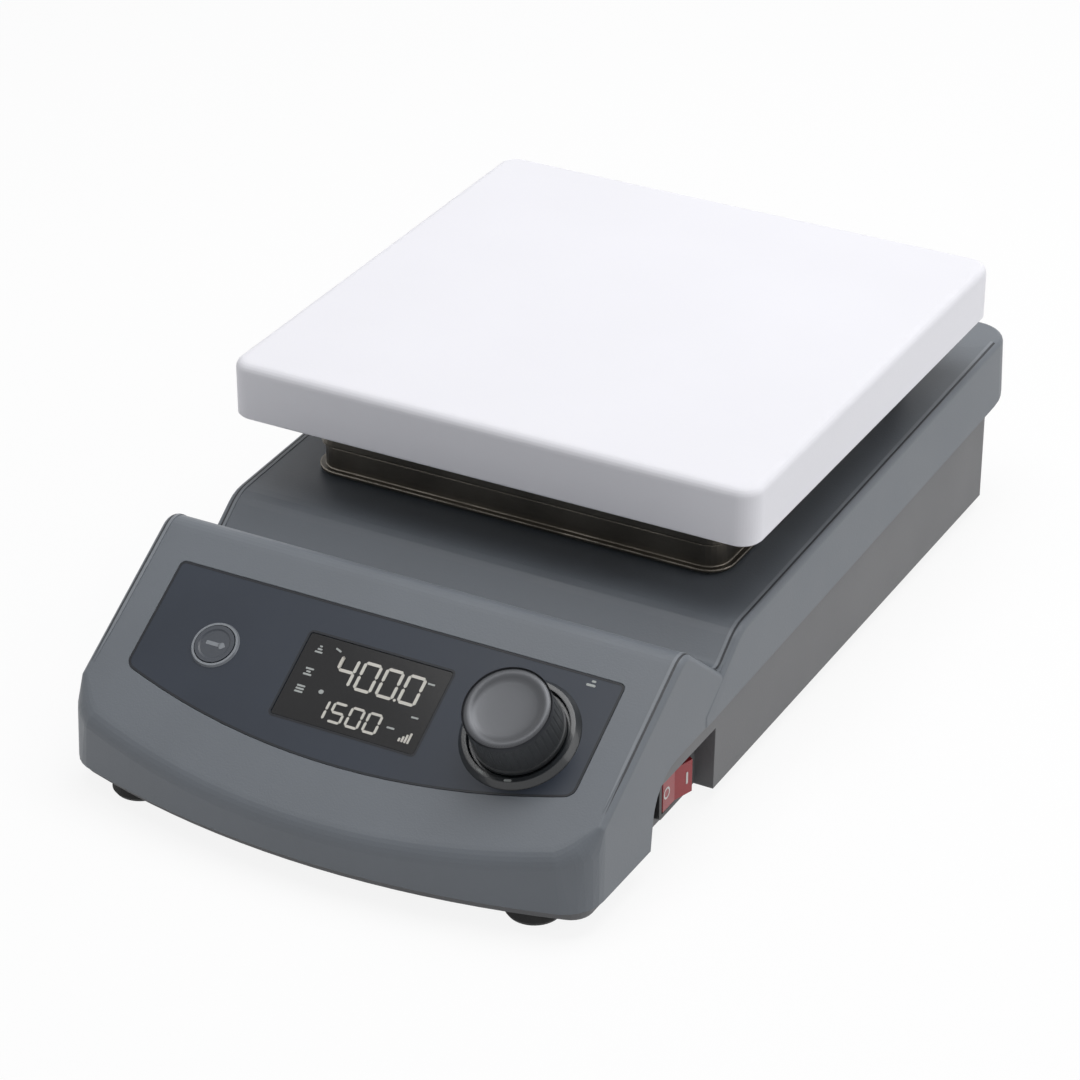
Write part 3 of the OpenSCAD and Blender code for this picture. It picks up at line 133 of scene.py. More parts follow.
def studio_floor(size, height, plain_share):
    """A matt white floor; what looks at it sees plain white by plain_share, and a faint shadow."""
    clear_selection()
    bpy.ops.mesh.primitive_plane_add(size=size, location=(0.0, 0.0, height))
    floor = bpy.context.object
    floor.name = "studio_floor"
    bpy.ops.object.transform_apply(location=True)
    paint = bpy.data.materials.new("floor_white")
    paint.use_nodes = True
    tree = paint.node_tree
    shader = tree.nodes["Principled BSDF"]
    shader.inputs["Base Color"].default_value = FLOOR_WHITE
    shader.inputs["Roughness"].default_value = 0.9
    glow = tree.nodes.new("ShaderNodeEmission")
    glow.inputs["Color"].default_value = WHITE
    glow.inputs["Strength"].default_value = 1.0
    share = tree.nodes.new("ShaderNodeMath")
    share.operation = "MULTIPLY"
    share.inputs[1].default_value = plain_share
    mix = tree.nodes.new("ShaderNodeMixShader")
    tree.links.new(is_seen(tree), share.inputs[0])
    tree.links.new(share.outputs[0], mix.inputs[0])
    tree.links.new(shader.outputs[0], mix.inputs[1])
    tree.links.new(glow.outputs[0], mix.inputs[2])
    tree.links.new(mix.outputs[0], tree.nodes["Material Output"].inputs["Surface"])
    floor.data.materials.append(paint)


studio_floor(size=8.0, height=-0.0002, plain_share=0.88)
print("floor ready")

# %% [markdown]
# Large soft lamps: the main one above and behind, which makes the top of the plate the brightest
# face, one right above the panel, which lays a sheen on the film, a weak one on the right for the
# side of the housing, and a weaker one low behind, which draws a thin highlight along the ridge.

# %% Lamps
LAMP_AIM = Vector((0.0, 0.0, 0.06))


def softbox(name, place, width, height, watts):
    """A rectangular area lamp at place, turned to face the instrument."""
    lamp = bpy.data.lights.new(name, "AREA")
    lamp.shape, lamp.size, lamp.size_y = "RECTANGLE", width, height
    lamp.energy = watts
    box = bpy.data.objects.new(name, lamp)
    box.location = place
    box.rotation_euler = (Vector(place) - LAMP_AIM).to_track_quat("Z", "Y").to_euler()
    bpy.context.scene.collection.objects.link(box)


softbox("overhead", (0.22, 0.36, 1.2), width=0.9, height=0.8, watts=7.5)
softbox("over_panel", (-0.10, -0.10, 1.25), width=0.6, height=0.8, watts=4.8)
softbox("right_side", (1.10, 0.28, 0.5), width=1.0, height=1.0, watts=3.0)
softbox("low_behind", (-0.1, 1.1, 0.55), width=0.9, height=0.5, watts=0.3)
print("lamps", [item.name for item in bpy.data.lights])

# %% [markdown]
# ## A finish from nodes
# A moulded, painted or spun surface is never one flat colour. Each finish here has a slow cloud of
# slightly lighter and darker tone, a fine grain that bends the light, and a roughness that varies
# with the cloud. The edges of most outer parts are rounded for the light by a Bevel node, and
# handling has rubbed them a little paler; on the steel trays under the plate the much paler edges
# are a painted highlight of their rolled rims. The same recipe serves every part: only the numbers
# differ, as they would on a paint shop's card.

# %% Clouds and ramps
# Nearly all values of a noise lie between these two
CLOUD_LOW, CLOUD_HIGH = 0.22, 0.78
CLOUD_DETAIL, GRAIN_DETAIL = 3.0, 2.0
EVEN = (1.0, 1.0, 1.0)


def noise(tree, place, size, detail, stretch=EVEN):
    """A cloud whose blotches are about size metres wide, stretched along an axis if asked."""
    mapping = tree.nodes.new("ShaderNodeMapping")
    mapping.inputs["Scale"].default_value = stretch
    cloud = tree.nodes.new("ShaderNodeTexNoise")
    cloud.inputs["Scale"].default_value = 1.0 / size
    cloud.inputs["Detail"].default_value = detail
    tree.links.new(place.outputs["Object"], mapping.inputs["Vector"])
    tree.links.new(mapping.outputs["Vector"], cloud.inputs["Vector"])
    return cloud.outputs["Fac"]


def tone_ramp(tree, source, dark, light):
    """Turns a cloud into a colour between dark and light."""
    node = tree.nodes.new("ShaderNodeValToRGB")
    ramp = node.color_ramp
    ramp.interpolation = "EASE"
    ramp.elements[0].position, ramp.elements[0].color = CLOUD_LOW, (*dark, 1.0)
    ramp.elements[1].position, ramp.elements[1].color = CLOUD_HIGH, (*light, 1.0)
    tree.links.new(source, node.inputs["Fac"])
    return node.outputs["Color"]


def spread(tree, source, low, high, start=CLOUD_LOW, end=CLOUD_HIGH):
    """Maps values from start to end softly to values from low to high."""
    span = tree.nodes.new("ShaderNodeMapRange")
    span.interpolation_type = "SMOOTHSTEP"
    span.inputs["From Min"].default_value, span.inputs["From Max"].default_value = start, end
    span.inputs["To Min"].default_value, span.inputs["To Max"].default_value = low, high
    tree.links.new(source, span.inputs["Value"])
    return span.outputs["Result"]


# %% Worn edges and painted edge highlights
# Cosine of the turn between a face and its rounded normal, on a sharp edge and on a flat
ON_EDGE, ON_FLAT = 0.78, 0.99
PATCH_SIZE, PATCH_DETAIL = 0.012, 4.0
PATCH_START, PATCH_END = 0.35, 0.65
LEAST_WORN = 0.25


def edge_wear_and_highlight(tree, place, rounding, edge_pale):
    """A mask of paler sharp edges, broken up by a cloud, and the normal that found them; the
    paleness is wear, and on the trays a painted highlight.
    """
    bevel = tree.nodes.new("ShaderNodeBevel")
    bevel.samples = 4
    bevel.inputs["Radius"].default_value = rounding
    flat = tree.nodes.new("ShaderNodeNewGeometry")
    turn = tree.nodes.new("ShaderNodeVectorMath")
    turn.operation = "DOT_PRODUCT"
    tree.links.new(bevel.outputs["Normal"], turn.inputs[0])
    tree.links.new(flat.outputs["Normal"], turn.inputs[1])
    edge = spread(tree, turn.outputs["Value"], edge_pale, 0.0, ON_EDGE, ON_FLAT)
    cloud = noise(tree, place, PATCH_SIZE, PATCH_DETAIL)
    patches = spread(tree, cloud, LEAST_WORN, 1.0, PATCH_START, PATCH_END)
    mask = tree.nodes.new("ShaderNodeMath")
    mask.operation, mask.use_clamp = "MULTIPLY", True
    tree.links.new(edge, mask.inputs[0])
    tree.links.new(patches, mask.inputs[1])
    return mask.outputs[0], bevel.outputs["Normal"]


# %% The finish recipe
# Shares of the roughness where the cloud is dark and where it is light
SMOOTHER, ROUGHER = 0.9, 1.12
# What a pale edge gains on top of its factor, and how pale it may get; the paleness is wear, and on
# the trays a painted highlight
PALE_EDGE_GAIN, PALEST = 0.02, 0.9


def finish(name, colour, rough, drift=0.06, grain=0.0005, depth=0.04, metal=0.0, cloud=0.03,
           stretch=EVEN, rounding=0.0, edge_pale=0.0, edge_brightness=1.5, **sockets):
    """colour is linear; drift is the share by which the tone wanders; grain, cloud and rounding
    are in metres; depth is how strongly the grain shows; the edge paleness is how pale a sharp edge
    gets, from wear and on the trays as a painted highlight, and the edge brightness how many times
    brighter it is then; sockets are other inputs of the shader by their names."""
    material = bpy.data.materials.new(name)
    material.use_nodes = True
    tree = material.node_tree
    shader = tree.nodes["Principled BSDF"]
    shader.inputs["Metallic"].default_value = metal
    for socket, value in sockets.items():
        shader.inputs[socket.replace("_", " ")].default_value = value
    place = tree.nodes.new("ShaderNodeTexCoord")
    slow = noise(tree, place, cloud, CLOUD_DETAIL)
    dark = tuple(value * (1.0 - drift) for value in colour)
    light = tuple(min(1.0, value * (1.0 + drift)) for value in colour)
    tone = tone_ramp(tree, slow, dark, light)
    bump = tree.nodes.new("ShaderNodeBump")
    bump.inputs["Strength"].default_value = depth
    bump.inputs["Distance"].default_value = grain
    tree.links.new(noise(tree, place, grain, GRAIN_DETAIL, stretch), bump.inputs["Height"])
    if rounding:
        mask, rounded = edge_wear_and_highlight(tree, place, rounding, edge_pale)
        pale = tuple(min(PALEST, value * edge_brightness + PALE_EDGE_GAIN) for value in colour)
        paler = tree.nodes.new("ShaderNodeMix")
        paler.data_type = "RGBA"
        paler.inputs["B"].default_value = (*pale, 1.0)
        tree.links.new(mask, paler.inputs["Factor"])
        tree.links.new(tone, paler.inputs["A"])
        tree.links.new(rounded, bump.inputs["Normal"])
        tone = paler.outputs["Result"]
    roughness = spread(tree, slow, rough * SMOOTHER, min(1.0, rough * ROUGHER))
    tree.links.new(tone, shader.inputs["Base Color"])
    tree.links.new(roughness, shader.inputs["Roughness"])
    tree.links.new(bump.outputs["Normal"], shader.inputs["Normal"])
    return material


def dress(node, material):
    """Puts a material on a CAD node in place of its plain one."""
    mesh = nodes[node].data
    mesh.materials.clear()
    mesh.materials.append(material)


# %% [markdown]
# The housing is moulded in two greys with a fine spark texture. The plate has a nearly matt white
# ceramic coat, the panel is a satin printed film, and the trays under the plate are stainless steel
# that the heat has tinted towards straw brown; their steel is painted much darker, as painted shade
# of the narrow gap under the plate, and their edges much paler, as a painted highlight. The numbers
# after a colour are the roughness and the drift, and then the grain and its depth where they aren't
# the usual ones.

# %% Finishes for the outside
shell_grey = finish("shell_grey", (0.142, 0.157, 0.176), 0.42, 0.04, 0.0006, 0.10,
                    rounding=0.0004, edge_pale=0.35, Specular_IOR_Level=0.39)
base_grey = finish("base_grey", (0.144, 0.145, 0.150), 0.5, 0.05, 0.0006, 0.12,
                   rounding=0.0004, edge_pale=0.3, Specular_IOR_Level=0.38)
plate_white = finish("plate_white", (0.833, 0.829, 0.868), 0.42, 0.012, 0.0015, 0.02, cloud=0.06,
                     rounding=0.0006, edge_pale=0.1, Specular_IOR_Level=0.08, Coat_Weight=0.03,
                     Coat_Roughness=0.2)
film_slate = finish("film_slate", (0.023, 0.030, 0.044), 0.36, 0.05, 0.0003, 0.05,
                    Specular_IOR_Level=0.29)
film_line_and_shadow = finish("film_line_and_shadow", (0.006, 0.008, 0.012), 0.4, 0.1, 0.0003, 0.05,
                   Specular_IOR_Level=0.3)
window_black = finish("window_black", (0.008, 0.008, 0.009), 0.16, 0.1, 0.002, 0.004,
                      Specular_IOR_Level=0.3)
# Partly painted shade: the ring is dark plastic, and its near black also holds the shadow round the
# knob's foot.
ring_dark = finish("ring_dark", (0.014, 0.017, 0.020), 0.20, 0.1, rounding=0.0005, edge_pale=0.5,
                   Coat_Weight=0.3)
ring_satin = finish("ring_satin", (0.20, 0.215, 0.235), 0.33, 0.06, metal=0.3)
key_slate = finish("key_slate", (0.035, 0.042, 0.055), 0.42, 0.05, 0.0003, 0.06)
knob_dark = finish("knob_dark", (0.044, 0.047, 0.050), 0.40, 0.08, rounding=0.0002, edge_pale=0.25)
cap_silver = finish("cap_silver", (0.076, 0.079, 0.086), 0.36, 0.05, 0.0003, 0.03, metal=0.5)
rocker_red = finish("rocker_red", (0.30, 0.018, 0.024), 0.28, 0.05, rounding=0.0003, edge_pale=0.1)
frame_black = finish("frame_black", (0.010, 0.010, 0.011), 0.38, 0.15, rounding=0.0003, edge_pale=0.3)
rubber = finish("rubber", (0.010, 0.010, 0.010), 0.75, 0.2, 0.0004, 0.2)
# Painted shade and highlight: the steel is far darker than stainless, for the shade in the narrow
# gap under the plate, with a straw tint from heat; its edges, four times brighter, are a painted
# highlight of the rolled rims.
tray_steel_shaded = finish("tray_steel_shaded", (0.115, 0.105, 0.090), 0.34, 0.22, 0.0003, 0.05, metal=1.0,
                    stretch=(0.05, 1.0, 1.0), rounding=0.0007, edge_pale=1.0, edge_brightness=4.0)
zinc = finish("zinc", (0.24, 0.24, 0.25), 0.45, 0.1, 0.0004, 0.05, metal=1.0)
print("outside finishes ready")

# %% Finishes for the inside
mica = finish("mica", (0.27, 0.17, 0.07), 0.45, 0.25, 0.0008, 0.1)
fibre = finish("fibre", (0.70, 0.69, 0.62), 0.9, 0.06, 0.0004, 0.3)
ceramic = finish("ceramic", (0.72, 0.70, 0.62), 0.6, 0.04, 0.0005, 0.1)
dark_metal = finish("dark_metal", (0.04, 0.04, 0.045), 0.4, 0.1, metal=0.5)
copper = finish("copper", (0.52, 0.20, 0.07), 0.3, 0.15, metal=1.0, stretch=(1.0, 1.0, 0.1))
nickel = finish("nickel", (0.36, 0.355, 0.34), 0.35, 0.06, metal=1.0)
board_green = finish("board_green", (0.015, 0.10, 0.045), 0.35, 0.15, 0.0008, 0.1)
white_plastic = finish("white_plastic", (0.68, 0.68, 0.64), 0.4, 0.03)
aluminium = finish("aluminium", (0.48, 0.49, 0.5), 0.38, 0.06, metal=1.0, stretch=(0.1, 1.0, 1.0))
sleeve_blue = finish("sleeve_blue", (0.015, 0.025, 0.11), 0.3, 0.1)
fuse_glass = finish("fuse_glass", (0.75, 0.8, 0.82), 0.08, 0.02, Transmission_Weight=0.85)
print("materials", len(bpy.data.materials))

# %% [markdown]
# The record names the material slot of each node, so the finishes are given out by slot. The push
# button shares its slot with the film and gets a finish of its own.

# %% Dress the nodes
BY_SLOT = {
    "upper_plastic": shell_grey, "lower_plastic": base_grey, "black_rubber": rubber,
    "white_enamel": plate_white, "mica": mica, "fibre_pad": fibre, "stainless": tray_steel_shaded,
    "ceramic": ceramic, "dark_metal": dark_metal, "copper": copper, "nickel": nickel,
    "overlay_film": film_slate, "black_glass": window_black, "circuit_board": board_green,
    "bright_ring": ring_satin, "white_plastic": white_plastic, "black_plastic": frame_black,
    "ring_plastic": ring_dark, "knob_plastic": knob_dark, "cap_metal": cap_silver, "steel": zinc,
    "aluminium": aluminium, "sleeve_plastic": sleeve_blue, "red_plastic": rocker_red,
    "fuse_glass": fuse_glass,
}
for row in frame["record"]["subparts"]:
    dress(row["node"], BY_SLOT[row["material_slot"]])
dress("mode_button", key_slate)
print("dressed", len(nodes))

# %% [markdown]
# ## The panel's plane
# All printed marks lie on the sloping panel. Its place is found from the display window's own box,
# so the marks stay on it if the panel moves in CAD. On the panel, right is +X and up is the way the
# slope climbs.

# %% Panel coordinates
SLOPE = math.radians(30.9)
UP_SLOPE = Vector((0.0, math.cos(SLOPE), math.sin(SLOPE)))
OUT = Vector((0.0, -math.sin(SLOPE), math.cos(SLOPE)))


def panel_top(node):
    """The middle of the outer face of a block that lies on the panel."""
    low, high = (Vector(corner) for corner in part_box(node))
    size = high - low
    thick = (size.z * math.cos(SLOPE) - size.y * math.sin(SLOPE)) / math.cos(2 * SLOPE)
    return (low + high) / 2 + OUT * thick / 2


def over_panel(right, up, lift):
    """A point at right and up from the window's middle and lift metres over its face."""
    return window_middle + Vector((right, 0.0, 0.0)) + UP_SLOPE * up + OUT * lift


def panel_matrix(right, up, lift):
    """Moves a flat drawing, in metres, onto the panel."""
    return Matrix.Translation(over_panel(right, up, lift)) @ Matrix.Rotation(SLOPE, 4, "X")


window_middle = panel_top("display_window")
print("window middle", tuple(round(value * 1000, 2) for value in window_middle))

# %% [markdown]
# ## The display
# The window is black glass over a segment display. A segment is a thin bar with pointed ends: a
# cube is added, scaled flat, and the four upright edges are bevelled in edit mode until the ends
# are points. Seven bars in the right places make any figure.

# %% A pointed bar
BAR_THICKNESS = 0.00008
SEGMENT_POINT, BLUNT = 0.42, 0.2


def bar(length, width, point):
    """A flat bar on the drawing plane, its corners cut by point times its narrower side."""
    clear_selection()
    bpy.ops.mesh.primitive_cube_add(size=1.0)
    piece = bpy.context.object
    piece.scale = (length, width, BAR_THICKNESS)
    bpy.ops.object.transform_apply(scale=True)
    bpy.ops.object.mode_set(mode="EDIT")
    bpy.ops.mesh.select_all(action="DESELECT")
    bpy.ops.object.mode_set(mode="OBJECT")
    for edge in piece.data.edges:
        ends = [piece.data.vertices[i].co for i in edge.vertices]
        edge.select = abs(ends[0].z - ends[1].z) > BAR_THICKNESS * 0.5
    bpy.ops.object.mode_set(mode="EDIT")
    bpy.ops.mesh.select_mode(type="EDGE")
    bpy.ops.mesh.bevel(offset=min(length, width) * point, segments=1)
    bpy.ops.object.mode_set(mode="OBJECT")
    return piece


def placed_bar(right, up, length, width, turn=0.0, point=SEGMENT_POINT):
    """A bar turned by turn degrees in the drawing plane and moved to its spot."""
    piece = bar(length, width, point)
    turned = Matrix.Rotation(math.radians(turn), 4, "Z")
    piece.data.transform(Matrix.Translation((right, up, 0.0)) @ turned)
    return piece


# %% Figures from seven bars
SEGMENTS = {"0": "abcdef", "1": "bc", "2": "abged", "3": "abgcd", "4": "fgbc", "5": "afgcd",
            "6": "afgedc", "7": "abc", "8": "abcdefg", "9": "abcdfg"}
SEGMENT_GAP = 0.3


def figure(digit, left, foot, height, width, stroke):
    """The bars of one digit with its lower left corner at left, foot."""
    half = height / 2
    spots = {
        "a": (width / 2, height, 0), "g": (width / 2, half, 0), "d": (width / 2, 0, 0),
        "f": (0, half * 1.5, 90), "b": (width, half * 1.5, 90),
        "e": (0, half / 2, 90), "c": (width, half / 2, 90),
    }
    bars = []
    for letter in SEGMENTS[digit]:
        right, up, turn = spots[letter]
        length = (half if turn else width) - stroke * SEGMENT_GAP
        bars.append(placed_bar(left + right, foot + up, length, stroke, turn))
    return bars


def figures(text, left, foot, height, width, gap, stroke):
    """A row of digits; a point is a small square between two of them."""
    made = []
    for letter in text:
        if letter == ".":
            made.append(placed_bar(left - gap / 2, foot, stroke, stroke))
        else:
            made += figure(letter, left, foot, height, width, stroke)
            left += width + gap
    return made


# %% Join flat bars and put them on the panel
def join(pieces, name, matrix, material, body="housing"):
    """Joins bars into one named piece, moves them by matrix and gives them their finish."""
    clear_selection()
    for piece in pieces:
        piece.select_set(True)
    bpy.context.view_layer.objects.active = pieces[0]
    if len(pieces) > 1:
        bpy.ops.object.join()
    joined = bpy.context.object
    joined.name = joined.data.name = name
    joined.data.transform(matrix)
    joined.data.materials.clear()
    joined.data.materials.append(material)
    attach(joined, body)
    return joined


on_glass = panel_matrix(0.0, 0.0, 0.00006)
lit = finish("lit_segment", (0.60, 0.58, 0.53), 0.5, 0.05)
dim = finish("dim_segment", (0.36, 0.38, 0.37), 0.5, 0.05)
temperature = figures("400.0", left=-0.0107, foot=0.0006, height=0.0092, width=0.0053,
                      gap=0.0023, stroke=0.00102)
speed = figures("1500", left=-0.0122, foot=-0.0117, height=0.0063, width=0.0041,
                gap=0.0019, stroke=0.00084)
digits = join(temperature + speed, "display_digits", on_glass, lit)
print("digits", len(digits.data.polygons), "faces")

# %% [markdown]
# Beside the figures the display has small plain signs: a column on the left for what is switched
# on, and a rising bar graph at the lower right for the speed. They are drawn from the same bars.

# %% Small signs on the display
# Each sign of the column is three short lines: the height of its middle and their lengths
COLUMN_RIGHT, LINE_STEP, LINE_WIDTH = -0.0194, 0.0010, 0.0006
COLUMN = ((0.0098, (0.0009, 0.0016, 0.0026)), (0.0018, (0.0028, 0.0014, 0.0028)),
          (-0.0043, (0.0028, 0.0028, 0.0028)))
# The other signs: right, up, length, width, turn in degrees, and how pointed they are
LOOSE_SIGNS = (
    (-0.0124, -0.0034, 0.0016, 0.0014, 0.0, 0.3),
    (-0.0135, 0.0112, 0.0022, LINE_WIDTH, -20.0, BLUNT),
    (0.0197, 0.0088, 0.0024, LINE_WIDTH, 0.0, BLUNT),
    (0.0197, -0.0030, 0.0024, LINE_WIDTH, 0.0, BLUNT),
    (0.0140, -0.0083, 0.0026, LINE_WIDTH, 0.0, BLUNT),
)
signs = []
for up, lengths in COLUMN:
    for step, length in enumerate(lengths):
        height = up + LINE_STEP - step * LINE_STEP
        signs.append(placed_bar(COLUMN_RIGHT, height, length, LINE_WIDTH, 0.0, BLUNT))
signs += [placed_bar(*sign) for sign in LOOSE_SIGNS]
small_signs = join(signs, "display_signs", on_glass, dim)

# Four bars that rise to the right: each starts, stands and reaches a little higher than the last
graph = [placed_bar(0.0182 + 0.0010 * step, -0.0110 + 0.0004 * step, 0.0007,
                    0.0012 + 0.0008 * step, 0.0, BLUNT) for step in range(4)]
speed_graph = join(graph, "display_graph", on_glass, lit)
print("signs", len(small_signs.data.polygons), "graph", len(speed_graph.data.polygons), "faces")

# %% [markdown]
# ## The panel's printed border and a painted shadow round the knob
# The film has a thin darker line all round its edge and round the window, and the same line runs
# round the film's openings; round the knob it is also painted shadow at the knob's foot. It is the
# film's own outline drawn inwards, so a copy of the film is taken, its top is kept, and an inset of
# the whole face leaves the narrow ring between the old edge and the new one. That ring is kept and
# given a little thickness.

# %% A merged copy of a CAD node
WELD = 0.000001


def merged_copy(node, name):
    """A copy of a node's mesh with its loose triangles welded, alone in the selection."""
    clear_selection()
    piece = bpy.data.objects.new(name, nodes[node].data.copy())
    piece.data.name = name
    piece.data.materials.clear()
    bpy.context.scene.collection.objects.link(piece)
    piece.select_set(True)
    bpy.context.view_layer.objects.active = piece
    bpy.ops.object.mode_set(mode="EDIT")
    bpy.ops.mesh.select_all(action="SELECT")
    bpy.ops.mesh.remove_doubles(threshold=WELD)
    bpy.ops.mesh.select_mode(type="FACE")
    bpy.ops.mesh.select_all(action="DESELECT")
    bpy.ops.object.mode_set(mode="OBJECT")
    return piece


def apply_modifiers(piece):
    """Applies what the piece's modifier stack holds, from the top down."""
    clear_selection()
    piece.select_set(True)
    bpy.context.view_layer.objects.active = piece
    for modifier in list(piece.modifiers):
        bpy.ops.object.modifier_apply(modifier=modifier.name)


# %% Border of the film
FACES_OUT = 0.99


def film_border(width, lift):
    """The ring of the film's top along its outlines, width metres wide, just over the film."""
    piece = merged_copy("control_overlay", "film_border")
    for face in piece.data.polygons:
        face.select = face.normal.dot(OUT) < FACES_OUT
    bpy.ops.object.mode_set(mode="EDIT")
    bpy.ops.mesh.delete(type="FACE")
    bpy.ops.mesh.select_all(action="SELECT")
    bpy.ops.mesh.inset(thickness=width, use_boundary=True)
    bpy.ops.mesh.delete(type="FACE")
    bpy.ops.object.mode_set(mode="OBJECT")
    piece.data.transform(Matrix.Translation(OUT * lift))
    wall = piece.modifiers.new("wall", "SOLIDIFY")
    wall.thickness, wall.offset = lift * 0.8, -1.0
    apply_modifiers(piece)
    piece.data.materials.append(film_line_and_shadow)
    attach(piece, "housing")
    return piece


# Painted shadow: round the knob's opening this dark line also stands for the shadow at the knob's
# foot.
border = film_border(width=0.0007, lift=0.00005)
print("border", len(border.data.polygons), "faces")

# %% [markdown]
# ## The push button's sign and the small marks by the knob
# The height of a surface under a mark is found by a ray cast straight into the panel, so that a
# mark lies on the button's dish or on the ring without a number of its own.

# %% Height of a surface over the panel
RAY_START = 0.05
# The push button and the knob, right and up from the window's middle
KEY = (-0.0523, 0.0015)
KNOB = (0.0530, 0.0015)


def height_over_panel(node, right, up):
    """How far the node's surface stands above the window's face at a spot of the panel."""
    start = over_panel(right, up, RAY_START)
    hit, point = nodes[node].ray_cast(start, -OUT)[:2]
    return RAY_START - (start - point).length if hit else 0.0


dish = height_over_panel("mode_button", *KEY)
print("button dish", round(dish * 1000, 3), "mm over the panel")

# %% Signs of the button and marks by the knob
PRINT_LIFT = 0.00004
CORNER = (0.0668, 0.0226)
RING_MARK_RADIUS = 0.01655

arrow = [placed_bar(-0.0006, 0.0, 0.0048, 0.0013, 0.0, BLUNT),
         placed_bar(0.0024, 0.0, 0.0026, 0.0022, 0.0, 0.45)]
join(arrow, "button_sign", panel_matrix(*KEY, dish + PRINT_LIFT), ring_satin,
     "push_button")
corner_strokes = [placed_bar(0.0, 0.0, 0.0030, 0.0008, 0.0, 0.3),
                  placed_bar(0.0004, 0.0014, 0.0014, 0.0007, 0.0, 0.3)]
join(corner_strokes, "corner_sign", panel_matrix(*CORNER, 0.00020), dim)
# Two small light marks on the ring below the knob.
for name, turn in (("ring_mark_left", -109.0), ("ring_mark_right", -76.0)):
    angle = math.radians(turn)
    spot = (KNOB[0] + RING_MARK_RADIUS * math.cos(angle),
            KNOB[1] + RING_MARK_RADIUS * math.sin(angle))
    top = height_over_panel("knob_ring", *spot)
    mark = [placed_bar(0.0, 0.0, 0.0024, 0.0007, turn + 90.0, 0.4)]
    join(mark, name, panel_matrix(*spot, top + PRINT_LIFT), dim)
print("signs on the ring at", round(top * 1000, 2), "mm")

# %% [markdown]
# ## The knob's metal crown
# A turned metal crown closes the knob: a rounded rim and a shallow dish. It starts as a flat
# cylinder. Its upper edge is bevelled to the rim's radius, and then the top face is inset again and
# again, each ring a little lower than the last, which is how a dish is raised from a flat face.

# %% Crown of the knob
HAIR = 0.00001
FACES_UP = 0.999


def knob_crown(radius, foot, crest, rings):
    """rings are the radius and height of each step from the rim down into the dish."""
    clear_selection()
    bpy.ops.mesh.primitive_cylinder_add(vertices=96, radius=radius, depth=crest - foot,
                                        location=(0.0, 0.0, (crest + foot) / 2))
    piece = bpy.context.object
    piece.name = piece.data.name = "knob_crown"
    bpy.ops.object.transform_apply(location=True)
    for edge in piece.data.edges:
        edge.select = all(piece.data.vertices[i].co.z > crest - HAIR for i in edge.vertices)
    rim = (crest - foot) * 0.96
    bpy.ops.object.mode_set(mode="EDIT")
    bpy.ops.mesh.select_mode(type="EDGE")
    bpy.ops.mesh.bevel(offset=rim, segments=8)
    bpy.ops.mesh.select_mode(type="FACE")
    bpy.ops.mesh.select_all(action="DESELECT")
    bpy.ops.object.mode_set(mode="OBJECT")
    for face in piece.data.polygons:
        face.select = face.normal.z > FACES_UP and face.center.z > crest - HAIR
    bpy.ops.object.mode_set(mode="EDIT")
    width, height = radius - rim, crest
    for ring, level in rings:
        bpy.ops.mesh.inset(thickness=width - ring)
        bpy.ops.transform.translate(value=(0.0, 0.0, level - height))
        width, height = ring, level
    bpy.ops.object.mode_set(mode="OBJECT")
    bpy.ops.object.shade_smooth_by_angle(angle=math.radians(40))
    return piece


# %% The crown goes on the knob
CROWN_LIFT = 0.00015
DISH_RINGS = ((0.01145, 0.01568), (0.01090, 0.01556), (0.01040, 0.01530), (0.00990, 0.01506),
              (0.00880, 0.01492), (0.00700, 0.01480), (0.00450, 0.01472), (0.00150, 0.01469))

crown = knob_crown(radius=0.01358, foot=0.01405, crest=0.01570, rings=DISH_RINGS)
crown.data.transform(panel_matrix(*KNOB, CROWN_LIFT))
crown.data.materials.append(cap_silver)
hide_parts("knob_cap")
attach(crown, "knob")
print("crown", len(crown.data.polygons), "faces")

# %% [markdown]
# ## The line along the housing's upper edges
# On both sides a fine line follows the top of the housing from the slope over the ridge, through
# the valley and along the deck, with a soft bead beside it. No groove is cut: the line is a dark
# strip, painted shade of a groove, and the bead is paler than the shell, a painted highlight along
# the edge. A long narrow grid is added above the housing, dropped on it by a Shrinkwrap modifier
# that projects straight down, and given a thickness by Solidify. Its front end tapers, as the line
# runs out on the slope.

# %% Strips that follow the housing
STRIP_START, STRIP_END = -0.1365, 0.1500
ABOVE_HOUSING = 0.12
TIP_SHARE, TAPER_LENGTH = 0.08, 0.014
LINE_SIDE, BEAD_SIDE = 0.0885, 0.0876


def edge_strip(name, side, width, thick, material, columns=1):
    """A strip along Y at side metres from the middle, laid on the upper housing."""
    clear_selection()
    bpy.ops.mesh.primitive_grid_add(x_subdivisions=columns, y_subdivisions=420, size=1.0)
    piece = bpy.context.object
    piece.name = piece.data.name = name
    middle = Matrix.Translation((side, (STRIP_START + STRIP_END) / 2, ABOVE_HOUSING))
    piece.data.transform(middle @ Matrix.Diagonal((width, STRIP_END - STRIP_START, 1.0, 1.0)))
    for vertex in piece.data.vertices:
        taper = min(1.0, TIP_SHARE + (vertex.co.y - STRIP_START) / TAPER_LENGTH)
        vertex.co.x = side + (vertex.co.x - side) * taper
    drop = piece.modifiers.new("drop", "SHRINKWRAP")
    drop.target, drop.wrap_method = nodes["top_housing"], "PROJECT"
    drop.use_project_z, drop.use_negative_direction = True, True
    drop.use_positive_direction = False
    wall = piece.modifiers.new("wall", "SOLIDIFY")
    wall.thickness, wall.offset = thick, 1.0
    apply_modifiers(piece)
    piece.data.materials.append(material)
    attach(piece, "housing")
    return piece
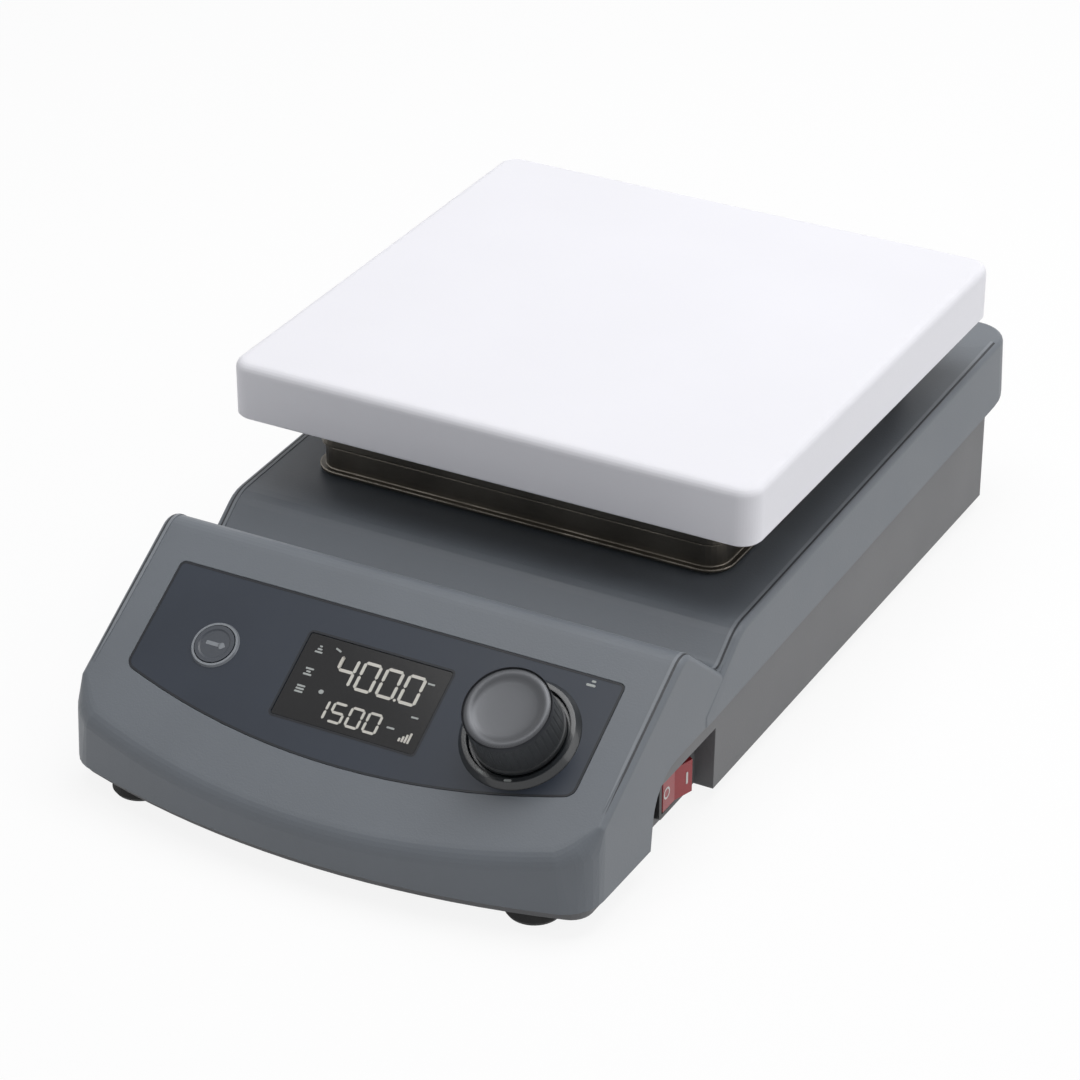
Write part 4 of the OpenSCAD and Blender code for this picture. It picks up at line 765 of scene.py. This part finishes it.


# Painted shade and highlight: the dark strip stands for the shade in a groove, and the bead's grey,
# lighter than the shell's, for the light along the edge.
groove_shade_dark = finish("groove_shade_dark", (0.020, 0.022, 0.026), 0.6, 0.1, 0.0003, 0.05)
bead_highlight_grey = finish("bead_highlight_grey", (0.20, 0.215, 0.235), 0.42, 0.06, 0.0006, 0.08,
                   Specular_IOR_Level=0.39)
for hand, sign in (("left", -1.0), ("right", 1.0)):
    line = edge_strip("edge_line_" + hand, sign * LINE_SIDE, 0.0006, 0.00006, groove_shade_dark)
    bead = edge_strip("edge_bead_" + hand, sign * BEAD_SIDE, 0.0010, 0.00022, bead_highlight_grey, 2)
print("line", len(line.data.polygons), "bead", len(bead.data.polygons), "faces")

# %% [markdown]
# ## The rocker's signs
# The two halves of the rocker carry the usual stroke and ring for on and off. The rocker's outer
# face has two flats that meet at a shallow angle over the pivot, so each sign is turned to its own
# flat.

# %% Signs on the rocker
PIVOT = Vector((0.0815, -0.08305, 0.0146))
REST_TILT = math.radians(-9.0)
# The outer face: how far the crease stands off the pivot, and the rise and length of each flat
CREASE, FLAT_RISE, FLAT_LENGTH = 0.0031, 0.0013, 0.0086
ROCKER_LIFT = 0.00006
STROKE_SPOT, RING_SPOT = 0.0052, -0.0052
RING_FLATNESS = 0.15


def rocker_matrix(across, lift):
    """Places a flat drawing on the rocker's flat at across metres from the pivot, facing out."""
    lean = math.atan2(FLAT_RISE, FLAT_LENGTH) * (1.0 if across > 0 else -1.0)
    flat = Vector((CREASE + abs(across) * FLAT_RISE / FLAT_LENGTH, across, 0.0))
    outwards = Vector((math.cos(lean), -math.sin(lean), 0.0))
    facing = Matrix.Rotation(REST_TILT - lean, 4, "Z") @ Matrix.Rotation(math.radians(90), 4, "Y")
    spot = Matrix.Rotation(REST_TILT, 3, "Z") @ (flat + outwards * lift)
    return Matrix.Translation(PIVOT + spot) @ facing


paint_white = finish("paint_white", (0.62, 0.60, 0.58), 0.45, 0.05)
stroke = join([placed_bar(0.0, 0.0, 0.0042, 0.0008, 0.0, 0.3)], "rocker_stroke",
              rocker_matrix(STROKE_SPOT, ROCKER_LIFT), paint_white, "rocker")
clear_selection()
bpy.ops.mesh.primitive_torus_add(major_radius=0.0017, minor_radius=0.00032, major_segments=32,
                                 minor_segments=8)
ring = bpy.context.object
ring.data.transform(Matrix.Diagonal((1.0, 1.0, RING_FLATNESS, 1.0)))
off_ring = join([ring], "rocker_ring", rocker_matrix(RING_SPOT, ROCKER_LIFT), paint_white,
                "rocker")
print("rocker signs", len(stroke.data.polygons) + len(off_ring.data.polygons), "faces")

# %% Finish
scene = bpy.context.scene
scene.view_settings.view_transform = "Standard"
